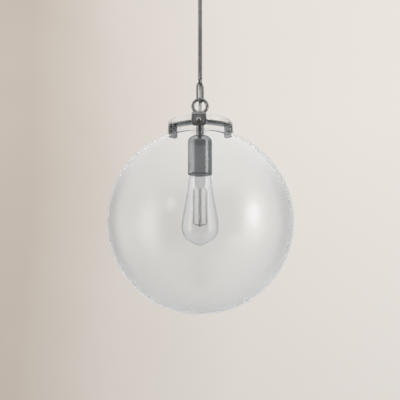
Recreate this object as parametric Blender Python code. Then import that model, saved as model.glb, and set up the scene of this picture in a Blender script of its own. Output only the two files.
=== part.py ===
"""Pendant ceiling light: a clear glass globe under a ring, links, a rod and a canopy.

Metres, +Z up, origin on the ceiling, on the light's own vertical axis. The front is -Y.
"""

import math

import bmesh
import bpy
from mathutils import Matrix, Vector

MM = 0.001
SEAT_GAP = 0.3 * MM
FIT_GAP = 0.15 * MM
WELD = 0.001 * MM

# globe
GLOBE_R = 152.4 * MM
GLASS_T = 4.0 * MM
NECK_R = 50.0 * MM
NECK_T = 4.5 * MM
NECK_H = 22.2 * MM
LIP_STEP = 2.0 * MM
LIP_H = 5.0 * MM
LIP_ROUND = 2.2 * MM
FILLET_R = 4.0 * MM

# spider over the neck
STRAP_W = 22.0 * MM
FOOT_W = 24.4 * MM
FOOT_ROUND = 5.5 * MM
STRAP_T = 3.0 * MM
BEND_R = 1.5 * MM
LEG_GAP = 1.0 * MM
LEG_DROP = 19.7 * MM
HUB_R = 13.0 * MM
SCREW_DROP = 11.3 * MM
ARM_AZIMUTHS = {"front": 270.0, "right": 30.0, "left": 150.0}

# thumbscrews
BOSS_R = 7.25 * MM
BOSS_T = 1.5 * MM
BOSS_EDGE = 0.7 * MM
HEAD_R = 4.5 * MM
HEAD_RIM_H = 1.6 * MM
HEAD_DOME_H = 2.9 * MM
HEAD_EDGE = 0.5 * MM
SHAFT_R = 2.0 * MM
TIP_R = 1.9 * MM
TIP_T = 1.4 * MM
THREAD_GAP = 0.25 * MM

# rod with an eye in each end
ROD_R = 3.5 * MM
ROD_WALL = 0.8 * MM
ROD_LENGTH = 152.4 * MM
EYE_LOOP_R = 4.6 * MM
EYE_WIRE_R = 1.5 * MM
EYE_DROP = 4.2 * MM
EYE_AZIMUTH = 28.0
WINDOW_SIDE = 0.1 * MM
WINDOW_SILL = 0.4 * MM
WINDOW_L = 19.8 * MM
PLUG_L = 6.2 * MM
WINDOW_MARGIN = 1.0 * MM

# links and large rings
LINK_WIRE_R = 1.6 * MM
LINK_HALF_W = 7.4 * MM
LINK_REACH = 32.8 * MM
LINK_AZIMUTH = 53.0
CHAIN_GAP = 0.5 * MM
RING_LOOP_R = 11.9 * MM
RING_WIRE_R = 2.6 * MM
SHANK_WALL = 2.2 * MM
SHANK_LENGTH = 23.2 * MM
SHANK_BORE_R = 3.1 * MM
SHANK_EDGE = 2.1 * MM
SHANK_SINK = 1.04 * MM
SPLICE_PAST = 6.0 * MM

# threaded nipples and their nuts
NIPPLE_R = 4.8 * MM
NIPPLE_WALL = 1.3 * MM
NIPPLE_GRIP = 4.4 * MM
NIPPLE_SPARE = 1.5 * MM
NUT_FLANGE = 3.2 * MM
NUT_T = 3.0 * MM

# stem, cup and socket
STEM_WALL = 1.2 * MM
STEM_LENGTH = 23.6 * MM
CUP_PLAY = 2.2 * MM
CUP_H = 65.0 * MM
CUP_DOME_H = 10.7 * MM
CUP_T = 1.2 * MM
CUP_EDGE = 0.5 * MM
SOCKET_WALL = 1.7 * MM
SOCKET_H = 42.0 * MM
SOCKET_TAPER = 4.0 * MM
SOCKET_TAPER_H = 8.0 * MM
SOCKET_RECESS = 11.5 * MM
SOCKET_EDGE = 0.6 * MM
LEAD_HOLE_R = 3.0 * MM
LEAD_HOLE_H = 6.0 * MM
SHELL_PLAY = 0.85 * MM
SHELL_T = 0.4 * MM
SHELL_RIDGE = 0.25 * MM
SHELL_SPARE = 4.0 * MM
SHELL_GAP = 0.9 * MM
SHELL_TURNS = 4

# bulb: the glass outline is (radius, drop below the cup's rim)
BASE_R = 13.05 * MM
BASE_LENGTH = 24.0 * MM
BASE_RIDGE = 0.8 * MM
BASE_SKIN = 0.6 * MM
BASE_TURNS = 4
BASE_RUN_IN = 3.0 * MM
BASE_PROUD = 1.0 * MM
CONTACT_R = 3.2 * MM
CONTACT_H = 2.0 * MM
CONTACT_DEPTH = 2.5 * MM
CONTACT_PLAY = 0.4 * MM
BULB_GLASS_T = 0.9 * MM
BULB_MOUTH_STEP = 0.45 * MM
BULB_DROP = 117.5 * MM
BULB_OUTLINE = [
    (14.6 * MM, -6.0 * MM),
    (16.9 * MM, -0.5 * MM),
    (18.6 * MM, 8.0 * MM),
    (21.2 * MM, 28.0 * MM),
    (23.6 * MM, 44.0 * MM),
    (26.8 * MM, 60.0 * MM),
    (29.3 * MM, 74.0 * MM),
    (30.15 * MM, 85.0 * MM),
    (29.9 * MM, 92.5 * MM),
    (27.6 * MM, 100.0 * MM),
    (23.0 * MM, 106.5 * MM),
    (15.6 * MM, 111.8 * MM),
    (7.0 * MM, 115.6 * MM),
]
MOUNT_R = 8.9 * MM
MOUNT_T = 1.0 * MM
MOUNT_DROP = 23.5 * MM
MOUNT_RISE = 1.88 * MM
MOUNT_TAPER_H = 4.0 * MM
MOUNT_FLOOR_T = 2.0 * MM
POST_R = 2.4 * MM
POST_DROP = 87.0 * MM
PLATE_R = 8.2 * MM
PLATE_T = 1.2 * MM
PLATE_LIFT = 4.0 * MM
FILAMENT_R = 1.5 * MM
FILAMENT_TIP_R = 0.5 * MM
FILAMENT_TIP_H = 2.0 * MM
FILAMENT_END_GAP = 1.0 * MM
FILAMENT_RING_R = 10.4 * MM
FILAMENT_COUNT = 4
FILAMENT_TURN = 5.0

# cord and ground wire
CORD_R = 1.5 * MM
GROUND_R = 0.9 * MM
CORD_X = -1.05 * MM
GROUND_X = 1.6 * MM
GROUND_LIFT = 1.6 * MM
BOW_Y = 7.9 * MM
WIRE_SPREAD = 0.4 * MM
CORD_RESOLUTION = 2
CORD_PIECES = 2

# canopy and what hides in it
CANOPY_R = 63.5 * MM
CANOPY_H = 22.5 * MM
CANOPY_T = 1.2 * MM
CANOPY_FLAT_R = 16.0 * MM
CANOPY_STEPS = 6
CANOPY_SCREW_X = 31.0 * MM
CANOPY_HOLE_R = 2.3 * MM
CAP_R = 5.0 * MM
CAP_SIDE_H = 2.0 * MM
CAP_DOME_H = 4.2 * MM
CAP_GRIP = 2.8 * MM
CROSSBAR_L = 104.0 * MM
CROSSBAR_W = 18.0 * MM
CROSSBAR_T = 2.0 * MM
CROSSBAR_PLAY = 0.4 * MM
BOX_SCREW_X = 44.45 * MM
BOX_SCREW_UP = 10.0 * MM
SLOT_OUT = 1.5 * MM
SLOT_IN = 4.5 * MM
SLOT_R = 2.4 * MM
SMALL_SCREW_R = 1.9 * MM
PAN_R = 3.9 * MM
PAN_H = 2.3 * MM
GROUND_SCREW_X = 16.0 * MM
GROUND_SCREW_UP = 2.5 * MM
WIRE_NUT_X = 24.0 * MM
WIRE_NUT_Y = 10.0 * MM
WIRE_NUT_Z = 13.0 * MM
WIRE_NUT_R = 5.0 * MM
WIRE_NUT_L = 15.0 * MM
WIRE_NUT_PITCH = 11.5 * MM
WIRE_NUT_EDGE = 1.0 * MM
CUT_PAST = 6.0 * MM

# distances along the chain, counted both ways from the rod's middle
LIP_R = NECK_R + LIP_STEP
ROD_BORE_R = ROD_R - ROD_WALL
WINDOW_W = 2 * (ROD_BORE_R - WINDOW_SIDE)
NIPPLE_BORE_R = NIPPLE_R - NIPPLE_WALL
NUT_R = NIPPLE_R + NUT_FLANGE
STEM_R = NIPPLE_R + STEM_WALL
SHANK_R = NIPPLE_R + SHANK_WALL
CROSSBAR_HOLE_R = NIPPLE_R + CROSSBAR_PLAY
SHELL_R = BASE_R + SHELL_PLAY
SOCKET_R = SHELL_R + SHELL_GAP + SOCKET_WALL
CUP_R = SOCKET_R + CUP_PLAY + CUP_T
CUP_FLAT_R = NUT_R
BULB_MOUTH_R = BASE_R - BULB_MOUTH_STEP

ROD_HALF = ROD_LENGTH / 2
EYE_D = ROD_HALF + EYE_DROP
EYE_CONTACT_D = EYE_D + EYE_LOOP_R
LINK_NEAR_D = EYE_CONTACT_D - EYE_WIRE_R - CHAIN_GAP - LINK_WIRE_R
LINK_FAR_D = LINK_NEAR_D + LINK_REACH
RING_NEAR_D = LINK_FAR_D - LINK_WIRE_R - CHAIN_GAP - RING_WIRE_R
RING_D = RING_NEAR_D + RING_LOOP_R
SHANK_TOP_D = RING_NEAR_D + 2 * RING_LOOP_R - RING_WIRE_R + SHANK_SINK
SHANK_END_D = RING_D + SHANK_LENGTH
SPLICE_D = RING_D + SPLICE_PAST

# heights from the ceiling down
CANOPY_LOW_Z = -CANOPY_H
ROD_MID_Z = CANOPY_LOW_Z - SEAT_GAP - SHANK_END_D
HUB_TOP_Z = ROD_MID_Z - SHANK_END_D - SEAT_GAP
HUB_LOW_Z = HUB_TOP_Z - STRAP_T
RIM_Z = HUB_LOW_Z - SEAT_GAP
GLOBE_Z = RIM_Z - NECK_H - math.sqrt(GLOBE_R**2 - NECK_R**2)
LEG_LOW_Z = RIM_Z - LEG_DROP
SCREW_Z = RIM_Z - SCREW_DROP
STEM_TOP_Z = HUB_LOW_Z - SEAT_GAP
STEM_LOW_Z = STEM_TOP_Z - STEM_LENGTH
CUP_TOP_Z = STEM_LOW_Z - SEAT_GAP
CUP_LOW_Z = CUP_TOP_Z - CUP_H
CUP_NUT_Z = CUP_TOP_Z - CUP_T - SEAT_GAP
SOCKET_LOW_Z = CUP_LOW_Z + SOCKET_RECESS
SOCKET_TOP_Z = SOCKET_LOW_Z + SOCKET_H
SOCKET_HOLLOW_Z = SOCKET_LOW_Z + BASE_LENGTH + SHELL_SPARE
BASE_LOW_Z = SOCKET_LOW_Z - BASE_PROUD
BASE_TOP_Z = BASE_LOW_Z + BASE_LENGTH
BULB_MOUTH_Z = BASE_LOW_Z - SEAT_GAP
POST_TOP_Z = CUP_LOW_Z - MOUNT_DROP
POST_LOW_Z = CUP_LOW_Z - POST_DROP

# distances out from the axis
LEG_IN_R = LIP_R + LEG_GAP
LEG_OUT_R = LEG_IN_R + STRAP_T
BOSS_SEAT_R = LEG_OUT_R + SEAT_GAP
HEAD_SEAT_R = BOSS_SEAT_R + BOSS_T + SEAT_GAP
TIP_OUT_R = NECK_R + SEAT_GAP + TIP_T

FINISHES = {
    "nickel": ((0.36, 0.36, 0.37), 1.0, 0.25, 0.0),
    "steel": ((0.55, 0.55, 0.56), 1.0, 0.4, 0.0),
    "brass": ((0.72, 0.55, 0.28), 1.0, 0.35, 0.0),
    "glass": ((0.93, 0.95, 0.95), 0.0, 0.03, 1.0),
    "phenolic": ((0.05, 0.05, 0.05), 0.0, 0.4, 0.0),
    "nylon": ((0.85, 0.85, 0.82), 0.0, 0.5, 0.0),
    "jacket": ((0.62, 0.62, 0.62), 0.0, 0.3, 0.0),
    "tinned": ((0.60, 0.60, 0.59), 1.0, 0.35, 0.0),
    "green": ((0.08, 0.35, 0.12), 0.6, 0.4, 0.0),
    "orange": ((0.75, 0.25, 0.05), 0.0, 0.5, 0.0),
    "phosphor": ((0.85, 0.65, 0.25), 0.0, 0.5, 0.0),
}


def clear_scene():
    for thing in list(bpy.data.objects):
        bpy.data.objects.remove(thing, do_unlink=True)


def add_material(obj, finish):
    colour, metallic, roughness, transmission = FINISHES[finish]
    material = bpy.data.materials.new(obj.name)
    material.use_nodes = True
    shader = material.node_tree.nodes["Principled BSDF"]
    shader.inputs["Base Color"].default_value = (*colour, 1.0)
    shader.inputs["Metallic"].default_value = metallic
    shader.inputs["Roughness"].default_value = roughness
    shader.inputs["Transmission Weight"].default_value = transmission
    obj.data.materials.append(material)


def at_height(z):
    return Matrix.Translation((0.0, 0.0, z))


def at_spot(x, y=0.0, z=0.0):
    return Matrix.Translation((x, y, z))


def facing(azimuth):
    """Turns local X to the azimuth in degrees, keeping Z."""
    return Matrix.Rotation(math.radians(azimuth), 4, "Z")


def outward(azimuth, height):
    """Turns local Z to point out from the axis at the azimuth, at a height."""
    return at_height(height) @ facing(azimuth) @ Matrix.Rotation(math.radians(90.0), 4, "Y")


def shade(mesh):
    mesh.shade_smooth()
    mesh.set_sharp_from_angle(angle=math.radians(35.0))


def add_mesh(name, finish, bm, place, pivot_z):
    """An object from a mesh drawn in its own frame, with its origin moved up Z to its pivot."""
    bmesh.ops.translate(bm, verts=bm.verts, vec=(0.0, 0.0, -pivot_z))
    bmesh.ops.recalc_face_normals(bm, faces=bm.faces)
    mesh = bpy.data.meshes.new(name)
    bm.to_mesh(mesh)
    bm.free()
    shade(mesh)
    obj = bpy.data.objects.new(name, mesh)
    obj.matrix_world = place @ at_height(pivot_z)
    bpy.context.scene.collection.objects.link(obj)
    if finish:
        add_material(obj, finish)
    return obj


def lathe(name, finish, profile, steps, place=Matrix(), pivot_z=0.0):
    """A closed outline of (radius, height) spun about Z."""
    bm = bmesh.new()
    ring = [bm.verts.new((radius, 0.0, height)) for radius, height in profile]
    edges = []
    for here, there in zip(ring, ring[1:] + ring[:1]):
        if max(here.co.x, there.co.x) > WELD:
            edges.append(bm.edges.new((here, there)))
    bmesh.ops.spin(
        bm,
        geom=ring + edges,
        cent=(0.0, 0.0, 0.0),
        axis=(0.0, 0.0, 1.0),
        dvec=(0.0, 0.0, 0.0),
        angle=2 * math.pi,
        steps=steps,
        use_merge=True,
        use_duplicate=False,
    )
    bmesh.ops.remove_doubles(bm, verts=bm.verts, dist=WELD)
    return add_mesh(name, finish, bm, place, pivot_z)


def rod_shape(name, finish, radius, low, high, steps, place=Matrix(), pivot_z=0.0):
    profile = [(0.0, low), (radius, low), (radius, high), (0.0, high)]
    return lathe(name, finish, profile, steps, place, pivot_z)


def pipe(name, finish, outer, inner, low, high, steps, pivot_z=0.0):
    profile = [(outer, low), (outer, high), (inner, high), (inner, low)]
    return lathe(name, finish, profile, steps, Matrix(), pivot_z)


def plate(name, finish, outline, low, high, place=Matrix(), pivot_z=0.0):
    """A flat outline of (x, y) points extruded from low to high."""
    bm = bmesh.new()
    face = bm.faces.new([bm.verts.new((x, y, low)) for x, y in outline])
    raised = bmesh.ops.extrude_face_region(bm, geom=[face])["geom"]
    corners = [item for item in raised if isinstance(item, bmesh.types.BMVert)]
    bmesh.ops.translate(bm, verts=corners, vec=(0.0, 0.0, high - low))
    return add_mesh(name, finish, bm, place, pivot_z)


def bar(name, finish, path, radius, resolution, closed=False, pivot_z=0.0):
    """A round wire along the path, as a bevelled curve with its origin at its pivot."""
    curve = bpy.data.curves.new(name, "CURVE")
    curve.dimensions = "3D"
    curve.bevel_depth = radius
    curve.bevel_resolution = resolution
    curve.use_fill_caps = not closed
    spline = curve.splines.new("POLY")
    spline.points.add(len(path) - 1)
    for knot, point in zip(spline.points, path):
        knot.co = (point.x, point.y, point.z - pivot_z, 1.0)
    spline.use_cyclic_u = closed
    spline.use_smooth = True
    obj = bpy.data.objects.new(name, curve)
    obj.location = (0.0, 0.0, pivot_z)
    bpy.context.scene.collection.objects.link(obj)
    if finish:
        add_material(obj, finish)
    return obj


def evaluated_mesh(obj):
    bpy.context.view_layer.update()
    seen = obj.evaluated_get(bpy.context.evaluated_depsgraph_get())
    return bpy.data.meshes.new_from_object(seen)


def solid_bar(name, finish, path, radius, resolution, pivot_z):
    """The same closed wire as a mesh, ready to be joined or cut."""
    wire = bar("wire", finish, path, radius, resolution, True, pivot_z)
    mesh = evaluated_mesh(wire)
    obj = bpy.data.objects.new(name, mesh)
    obj.location = (0.0, 0.0, pivot_z)
    bpy.context.scene.collection.objects.link(obj)
    bpy.data.objects.remove(wire, do_unlink=True)
    return obj


def combine(target, tool, operation):
    """Joins the tool to the target, cuts it away or keeps the shared part, then drops the tool."""
    change = target.modifiers.new(operation.lower(), "BOOLEAN")
    change.operation = operation
    change.solver = "EXACT"
    change.object = tool
    mesh = evaluated_mesh(target)
    target.modifiers.remove(change)
    target.data = mesh
    bpy.data.objects.remove(tool, do_unlink=True)
    bm = bmesh.new()
    bm.from_mesh(mesh)
    bmesh.ops.remove_doubles(bm, verts=bm.verts, dist=WELD)
    bmesh.ops.dissolve_degenerate(bm, edges=bm.edges, dist=WELD)
    bm.to_mesh(mesh)
    bm.free()
    shade(mesh)


def drill(target, radius, low, high, place=Matrix(), steps=16):
    """A round hole along local Z, run well past both heights."""
    past = 2.0 * MM
    combine(target, rod_shape("drill", None, radius, low - past, high + past, steps, place), "DIFFERENCE")


def arc(centre_x, centre_y, radius, start, stop, steps):
    """Points on a circle from one angle to another in degrees, both ends kept."""
    points = []
    for i in range(steps + 1):
        angle = math.radians(start + (stop - start) * i / steps)
        points.append((centre_x + radius * math.cos(angle), centre_y + radius * math.sin(angle)))
    return points


def hexagon(radius, turn=0.0):
    return arc(0.0, 0.0, radius, turn, turn + 300.0, 5)


def stadium(near_x, far_x, radius, steps):
    """A slot outline between two centres on X."""
    return arc(far_x, 0.0, radius, -90.0, 90.0, steps) + arc(near_x, 0.0, radius, 90.0, 270.0, steps)


def wire_loop(radius, count):
    """Points of a closed circle about the origin, in (across, up)."""
    return arc(0.0, 0.0, radius, 0.0, 360.0 - 360.0 / count, count - 1)


def smooth_route(points):
    """A curve through the points, its first and last stretches straight."""
    knots = [Vector(point) for point in points]
    knots = [2 * knots[0] - knots[1]] + knots + [2 * knots[-1] - knots[-2]]
    last = len(knots) - 3
    route = []
    for i in range(1, last + 1):
        a, b, c, d = knots[i - 1 : i + 3]
        pieces = 1 if i in (1, last) else CORD_PIECES
        for k in range(pieces):
            t = k / pieces
            bend = (c - a) * t + (2 * a - 5 * b + 4 * c - d) * t**2 + (3 * b - a - 3 * c + d) * t**3
            route.append(b + bend / 2)
    route.append(knots[-2])
    return route


def chain_z(side, distance):
    """Height of a point on the chain: side is 1 above the rod's middle and -1 below it."""
    return ROD_MID_Z + side * distance


UPPER_LINK_PIVOT = chain_z(1, RING_NEAR_D)
ROD_PIVOT = chain_z(1, EYE_CONTACT_D)
LOWER_LINK_PIVOT = chain_z(-1, EYE_CONTACT_D)
FIXTURE_PIVOT = chain_z(-1, RING_NEAR_D)


def build_link(name, side, pivot_z):
    """Long oval link that joins an eye to a large ring."""
    half = LINK_REACH / 2 - LINK_HALF_W
    outline = arc(0.0, half, LINK_HALF_W, 0.0, 180.0, 8) + arc(0.0, -half, LINK_HALF_W, 180.0, 360.0, 8)
    middle = at_height(chain_z(side, (LINK_NEAR_D + LINK_FAR_D) / 2)) @ facing(LINK_AZIMUTH)
    bar(name, "nickel", [middle @ Vector((x, 0.0, z)) for x, z in outline], LINK_WIRE_R, 3, True, pivot_z)


def build_eye(name, side):
    """Small loop brazed across the rod's end, with a plug up the bore."""
    centre = at_height(chain_z(side, EYE_D)) @ facing(EYE_AZIMUTH)
    path = [centre @ Vector((0.0, y, z)) for y, z in wire_loop(EYE_LOOP_R, 18)]
    eye = solid_bar(name, "nickel", path, EYE_WIRE_R, 2, ROD_PIVOT)
    ends = [chain_z(side, EYE_D - EYE_LOOP_R), chain_z(side, ROD_HALF - PLUG_L)]
    plug = rod_shape("plug", None, ROD_BORE_R - FIT_GAP, min(ends), max(ends), 16)
    combine(eye, plug, "UNION")


def build_ring(name, side, pivot_z):
    """Large loop whose bored shank carries the wires and grips a threaded nipple."""
    centre = at_height(chain_z(side, RING_D))
    path = [centre @ Vector((x, 0.0, z)) for x, z in wire_loop(RING_LOOP_R, 24)]
    ring = solid_bar(name, "nickel", path, RING_WIRE_R, 3, pivot_z)
    shank = [(0.0, SHANK_TOP_D), (SHANK_R - SHANK_EDGE, SHANK_TOP_D), (SHANK_R, SHANK_TOP_D + SHANK_EDGE)]
    shank += [(SHANK_R, SHANK_END_D), (0.0, SHANK_END_D)]
    combine(ring, lathe("shank", None, [(r, chain_z(side, d)) for r, d in shank], 24), "UNION")
    socket = SHANK_END_D - NIPPLE_GRIP - SEAT_GAP
    grip_r = NIPPLE_R + FIT_GAP
    bore = [(0.0, SHANK_TOP_D - CUT_PAST), (SHANK_BORE_R, SHANK_TOP_D - CUT_PAST), (SHANK_BORE_R, socket)]
    bore += [(grip_r, socket), (grip_r, SHANK_END_D + CUT_PAST), (0.0, SHANK_END_D + CUT_PAST)]
    combine(ring, lathe("bore", None, [(r, chain_z(side, d)) for r, d in bore], 16), "DIFFERENCE")


def build_rod():
    """Rod tube with a notch for each eye and a window behind for the wires."""
    ends = chain_z(-1, ROD_HALF), chain_z(1, ROD_HALF)
    rod = pipe("downrod", "nickel", ROD_R, ROD_BORE_R, ends[0], ends[1], 24, ROD_PIVOT)
    notch_half = EYE_WIRE_R + FIT_GAP
    notch_depth = EYE_LOOP_R + EYE_WIRE_R - EYE_DROP + SEAT_GAP
    past = 2 * ROD_R
    notch = [(-notch_half, -past), (notch_half, -past), (notch_half, past), (-notch_half, past)]
    sill = WINDOW_SILL
    window = [(-WINDOW_W / 2, sill), (WINDOW_W / 2, sill), (WINDOW_W / 2, past), (-WINDOW_W / 2, past)]
    for side in (1, -1):
        cuts = sorted([chain_z(side, ROD_HALF - notch_depth), chain_z(side, ROD_HALF + past)])
        combine(rod, plate("notch", None, notch, *cuts, facing(EYE_AZIMUTH)), "DIFFERENCE")
        near = ROD_HALF - PLUG_L - WINDOW_MARGIN
        cuts = sorted([chain_z(side, near), chain_z(side, near - WINDOW_L)])
        combine(rod, plate("window", None, window, *cuts), "DIFFERENCE")


def build_chain():
    build_ring("canopy_loop", 1, 0.0)
    build_link("upper_link", 1, UPPER_LINK_PIVOT)
    build_rod()
    build_eye("upper_eye", 1)
    build_eye("lower_eye", -1)
    build_link("lower_link", -1, LOWER_LINK_PIVOT)
    build_ring("hanging_ring", -1, FIXTURE_PIVOT)


def rod_route(x):
    """Half of a wire's way in the rod, from its middle out of the window behind."""
    window = ROD_HALF - PLUG_L - WINDOW_MARGIN - WINDOW_L
    return [
        (x, 0.0, 0.0),
        (x, 0.0, window - 4.0 * MM),
        (x, 0.3 * MM, window),
        (x, 1.3 * MM, window + 4.5 * MM),
        (x, 4.0 * MM, ROD_HALF - 14.5 * MM),
        (x, 6.3 * MM, ROD_HALF - 7.2 * MM),
        (x, 6.6 * MM, ROD_HALF - 6.0 * MM),
    ]


def jumper_route(x, lift):
    """A wire's way behind the eye and the link, then down into the ring."""
    return [
        (x, 6.68 * MM, ROD_HALF - 5.7 * MM),
        (x, 6.9 * MM, ROD_HALF - 4.8 * MM),
        (x, BOW_Y, ROD_HALF + 2.0 * MM),
        (x, BOW_Y, EYE_D + 4.0 * MM),
        (x, BOW_Y - 0.5 * MM, LINK_NEAR_D + 8.0 * MM),
        (x, 5.6 * MM + lift, RING_NEAR_D - 8.0 * MM),
        (x, 5.0 * MM + lift, RING_NEAR_D - 1.0 * MM),
        (x, 4.9 * MM + lift, LINK_FAR_D + 0.5 * MM),
        (x, 2.2 * MM + lift, RING_D - 1.5 * MM),
        (x, 0.0, SPLICE_D - 2.0 * MM),
        (x, 0.0, SPLICE_D - SEAT_GAP),
    ]


def build_wire(kind, finish, x, lift, radius, canopy_end, stem_end):
    """One wire in its rod, jumper, canopy and stem stretches."""
    half = rod_route(x)
    whole = [(a, b, chain_z(1, d)) for a, b, d in reversed(half)]
    whole += [(a, b, chain_z(-1, d)) for a, b, d in half[1:]]
    bar("rod_" + kind, finish, smooth_route(whole), radius, CORD_RESOLUTION, False, ROD_PIVOT)
    for side, label, pivot_z in ((1, "upper", UPPER_LINK_PIVOT), (-1, "lower", LOWER_LINK_PIVOT)):
        route = smooth_route([(a, b, chain_z(side, d)) for a, b, d in jumper_route(x, lift)])
        bar(label + "_jumper_" + kind, finish, route, radius, CORD_RESOLUTION, False, pivot_z)
    for side, label, end, pivot_z in ((1, "canopy", canopy_end, 0.0), (-1, "stem", stem_end, FIXTURE_PIVOT)):
        start = [(x, 0.0, chain_z(side, SPLICE_D)), (x, 0.0, chain_z(side, SHANK_END_D))]
        bar(label + "_" + kind, finish, smooth_route(start + end), radius, CORD_RESOLUTION, False, pivot_z)


def build_cord():
    splice_z = CANOPY_LOW_Z + WIRE_NUT_Z
    canopy_end = [
        (CORD_X - WIRE_SPREAD, 0.0, CANOPY_LOW_Z + 8.5 * MM),
        (CORD_X - 2.0 * MM, -2.0 * MM, CANOPY_LOW_Z + 11.6 * MM),
        (-8.0 * MM, -5.5 * MM, splice_z),
        (-WIRE_NUT_X + 3.5 * MM, -4.5 * MM, splice_z),
        (-WIRE_NUT_X, -WIRE_NUT_Y + 1.5 * MM, splice_z),
        (-WIRE_NUT_X, -WIRE_NUT_Y, splice_z),
    ]
    stem_end = [
        (CORD_X, 0.0, STEM_LOW_Z),
        (CORD_X - WIRE_SPREAD, 0.0, CUP_TOP_Z - 7.0 * MM),
        (CORD_X / 2, 0.0, SOCKET_TOP_Z + 1.0 * MM),
        (CORD_X / 2, 0.0, SOCKET_TOP_Z - LEAD_HOLE_H / 2),
    ]
    build_wire("cord", "jacket", CORD_X, 0.0, CORD_R, canopy_end, stem_end)


def build_ground():
    canopy_end = [
        (GROUND_X + WIRE_SPREAD, 0.0, CANOPY_LOW_Z + 8.5 * MM),
        (GROUND_X + 2.0 * MM, -2.0 * MM, CANOPY_LOW_Z + 12.0 * MM),
        (9.0 * MM, -7.0 * MM, CANOPY_LOW_Z + 13.5 * MM),
        (GROUND_SCREW_X, -6.5 * MM, CANOPY_LOW_Z + 14.5 * MM),
        (GROUND_SCREW_X, -PAN_R - GROUND_R, CANOPY_LOW_Z + 16.0 * MM),
    ]
    stem_end = [
        (GROUND_X, 0.0, STEM_LOW_Z),
        (GROUND_X + WIRE_SPREAD, 0.0, CUP_TOP_Z - 7.0 * MM),
        (6.0 * MM, 0.0, CUP_TOP_Z - 10.2 * MM),
        (NUT_R + 2.5 * MM, 0.0, CUP_TOP_Z - 9.0 * MM),
    ]
    build_wire("ground", "tinned", GROUND_X, GROUND_LIFT, GROUND_R, canopy_end, stem_end)


def build_wire_nuts():
    """Two twist-on connectors lying side by side in the canopy."""
    lay_forward = Matrix.Rotation(math.radians(90.0), 4, "X")
    profile = [(0.0, SEAT_GAP), (WIRE_NUT_R, SEAT_GAP), (WIRE_NUT_R, WIRE_NUT_L / 6)]
    profile += [(WIRE_NUT_R * 0.68, WIRE_NUT_L - WIRE_NUT_EDGE), (WIRE_NUT_R * 0.5, WIRE_NUT_L)]
    profile.append((0.0, WIRE_NUT_L))
    for index, name in enumerate(("connector_live", "connector_neutral")):
        x = -WIRE_NUT_X - WIRE_NUT_PITCH * index
        spot = at_spot(x, -WIRE_NUT_Y, CANOPY_LOW_Z + WIRE_NUT_Z) @ lay_forward
        lathe(name, "orange", profile, 20, spot)


def canopy_curve(radius):
    """Height of the canopy's outer skin at a distance from its axis."""
    reach = max(radius - CANOPY_FLAT_R, 0.0) / (CANOPY_R - CANOPY_FLAT_R)
    return CANOPY_LOW_Z + (CANOPY_H - SEAT_GAP) * (1.0 - math.sqrt(1.0 - reach**2))


def build_canopy():
    top = -SEAT_GAP
    hole_r = NIPPLE_R + FIT_GAP
    outer = [(hole_r, CANOPY_LOW_Z), (CANOPY_FLAT_R, CANOPY_LOW_Z)]
    inner = [(hole_r, CANOPY_LOW_Z + CANOPY_T), (CANOPY_FLAT_R, CANOPY_LOW_Z + CANOPY_T)]
    wide, deep = CANOPY_R - CANOPY_FLAT_R, top - CANOPY_LOW_Z
    for i in range(1, CANOPY_STEPS + 1):
        angle = math.radians(90.0 * i / CANOPY_STEPS)
        across, up = math.sin(angle), 1.0 - math.cos(angle)
        outer.append((CANOPY_FLAT_R + wide * across, CANOPY_LOW_Z + deep * up))
        inside = CANOPY_FLAT_R + (wide - CANOPY_T) * across
        inner.append((inside, CANOPY_LOW_Z + CANOPY_T + (deep - CANOPY_T) * up))
    canopy = lathe("canopy", "nickel", outer + inner[::-1], 32)
    for sign in (-1, 1):
        drill(canopy, CANOPY_HOLE_R, CANOPY_LOW_Z, top, at_spot(sign * CANOPY_SCREW_X))
    nut_z = CANOPY_LOW_Z + CANOPY_T + SEAT_GAP
    build_nut("canopy_locknut", nut_z, 0.0)
    nipple_low = CANOPY_LOW_Z - SEAT_GAP - NIPPLE_GRIP
    pipe("canopy_nipple", "steel", NIPPLE_R, NIPPLE_BORE_R, nipple_low, nut_z + NUT_T + NIPPLE_SPARE, 24)


def build_nut(name, low, pivot_z):
    nut = plate(name, "steel", hexagon(NUT_R), low, low + NUT_T, Matrix(), pivot_z)
    drill(nut, NIPPLE_R + FIT_GAP, low, low + NUT_T, Matrix(), 24)


def build_screw(name, finish, top, x):
    """Pan-head screw up through the crossbar."""
    seat = -CROSSBAR_T - SEAT_GAP
    profile = [(0.0, top), (SMALL_SCREW_R, top), (SMALL_SCREW_R, seat), (PAN_R, seat)]
    profile += [(PAN_R, seat - PAN_H * 0.55), (PAN_R * 0.75, seat - PAN_H * 0.9), (0.0, seat - PAN_H)]
    lathe(name, finish, profile, 18, at_spot(x))


def build_cap_nut(name, x):
    """Domed nut under the canopy, blind bored for the canopy screw."""
    seat = canopy_curve(CANOPY_SCREW_X - CAP_R) - SEAT_GAP
    side_low = seat - CAP_SIDE_H
    bore_r, bore_end = SMALL_SCREW_R + FIT_GAP, seat - CAP_GRIP - SEAT_GAP
    profile = [(bore_r, seat), (CAP_R, seat)]
    for r, drop in arc(0.0, 0.0, 1.0, 0.0, 66.0, 3):
        profile.append((CAP_R * r, side_low - CAP_DOME_H * drop))
    profile += [(0.0, side_low - CAP_DOME_H), (0.0, bore_end), (bore_r, bore_end)]
    lathe(name, "nickel", profile, 24, at_spot(x))
    return seat - CAP_GRIP


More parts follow.
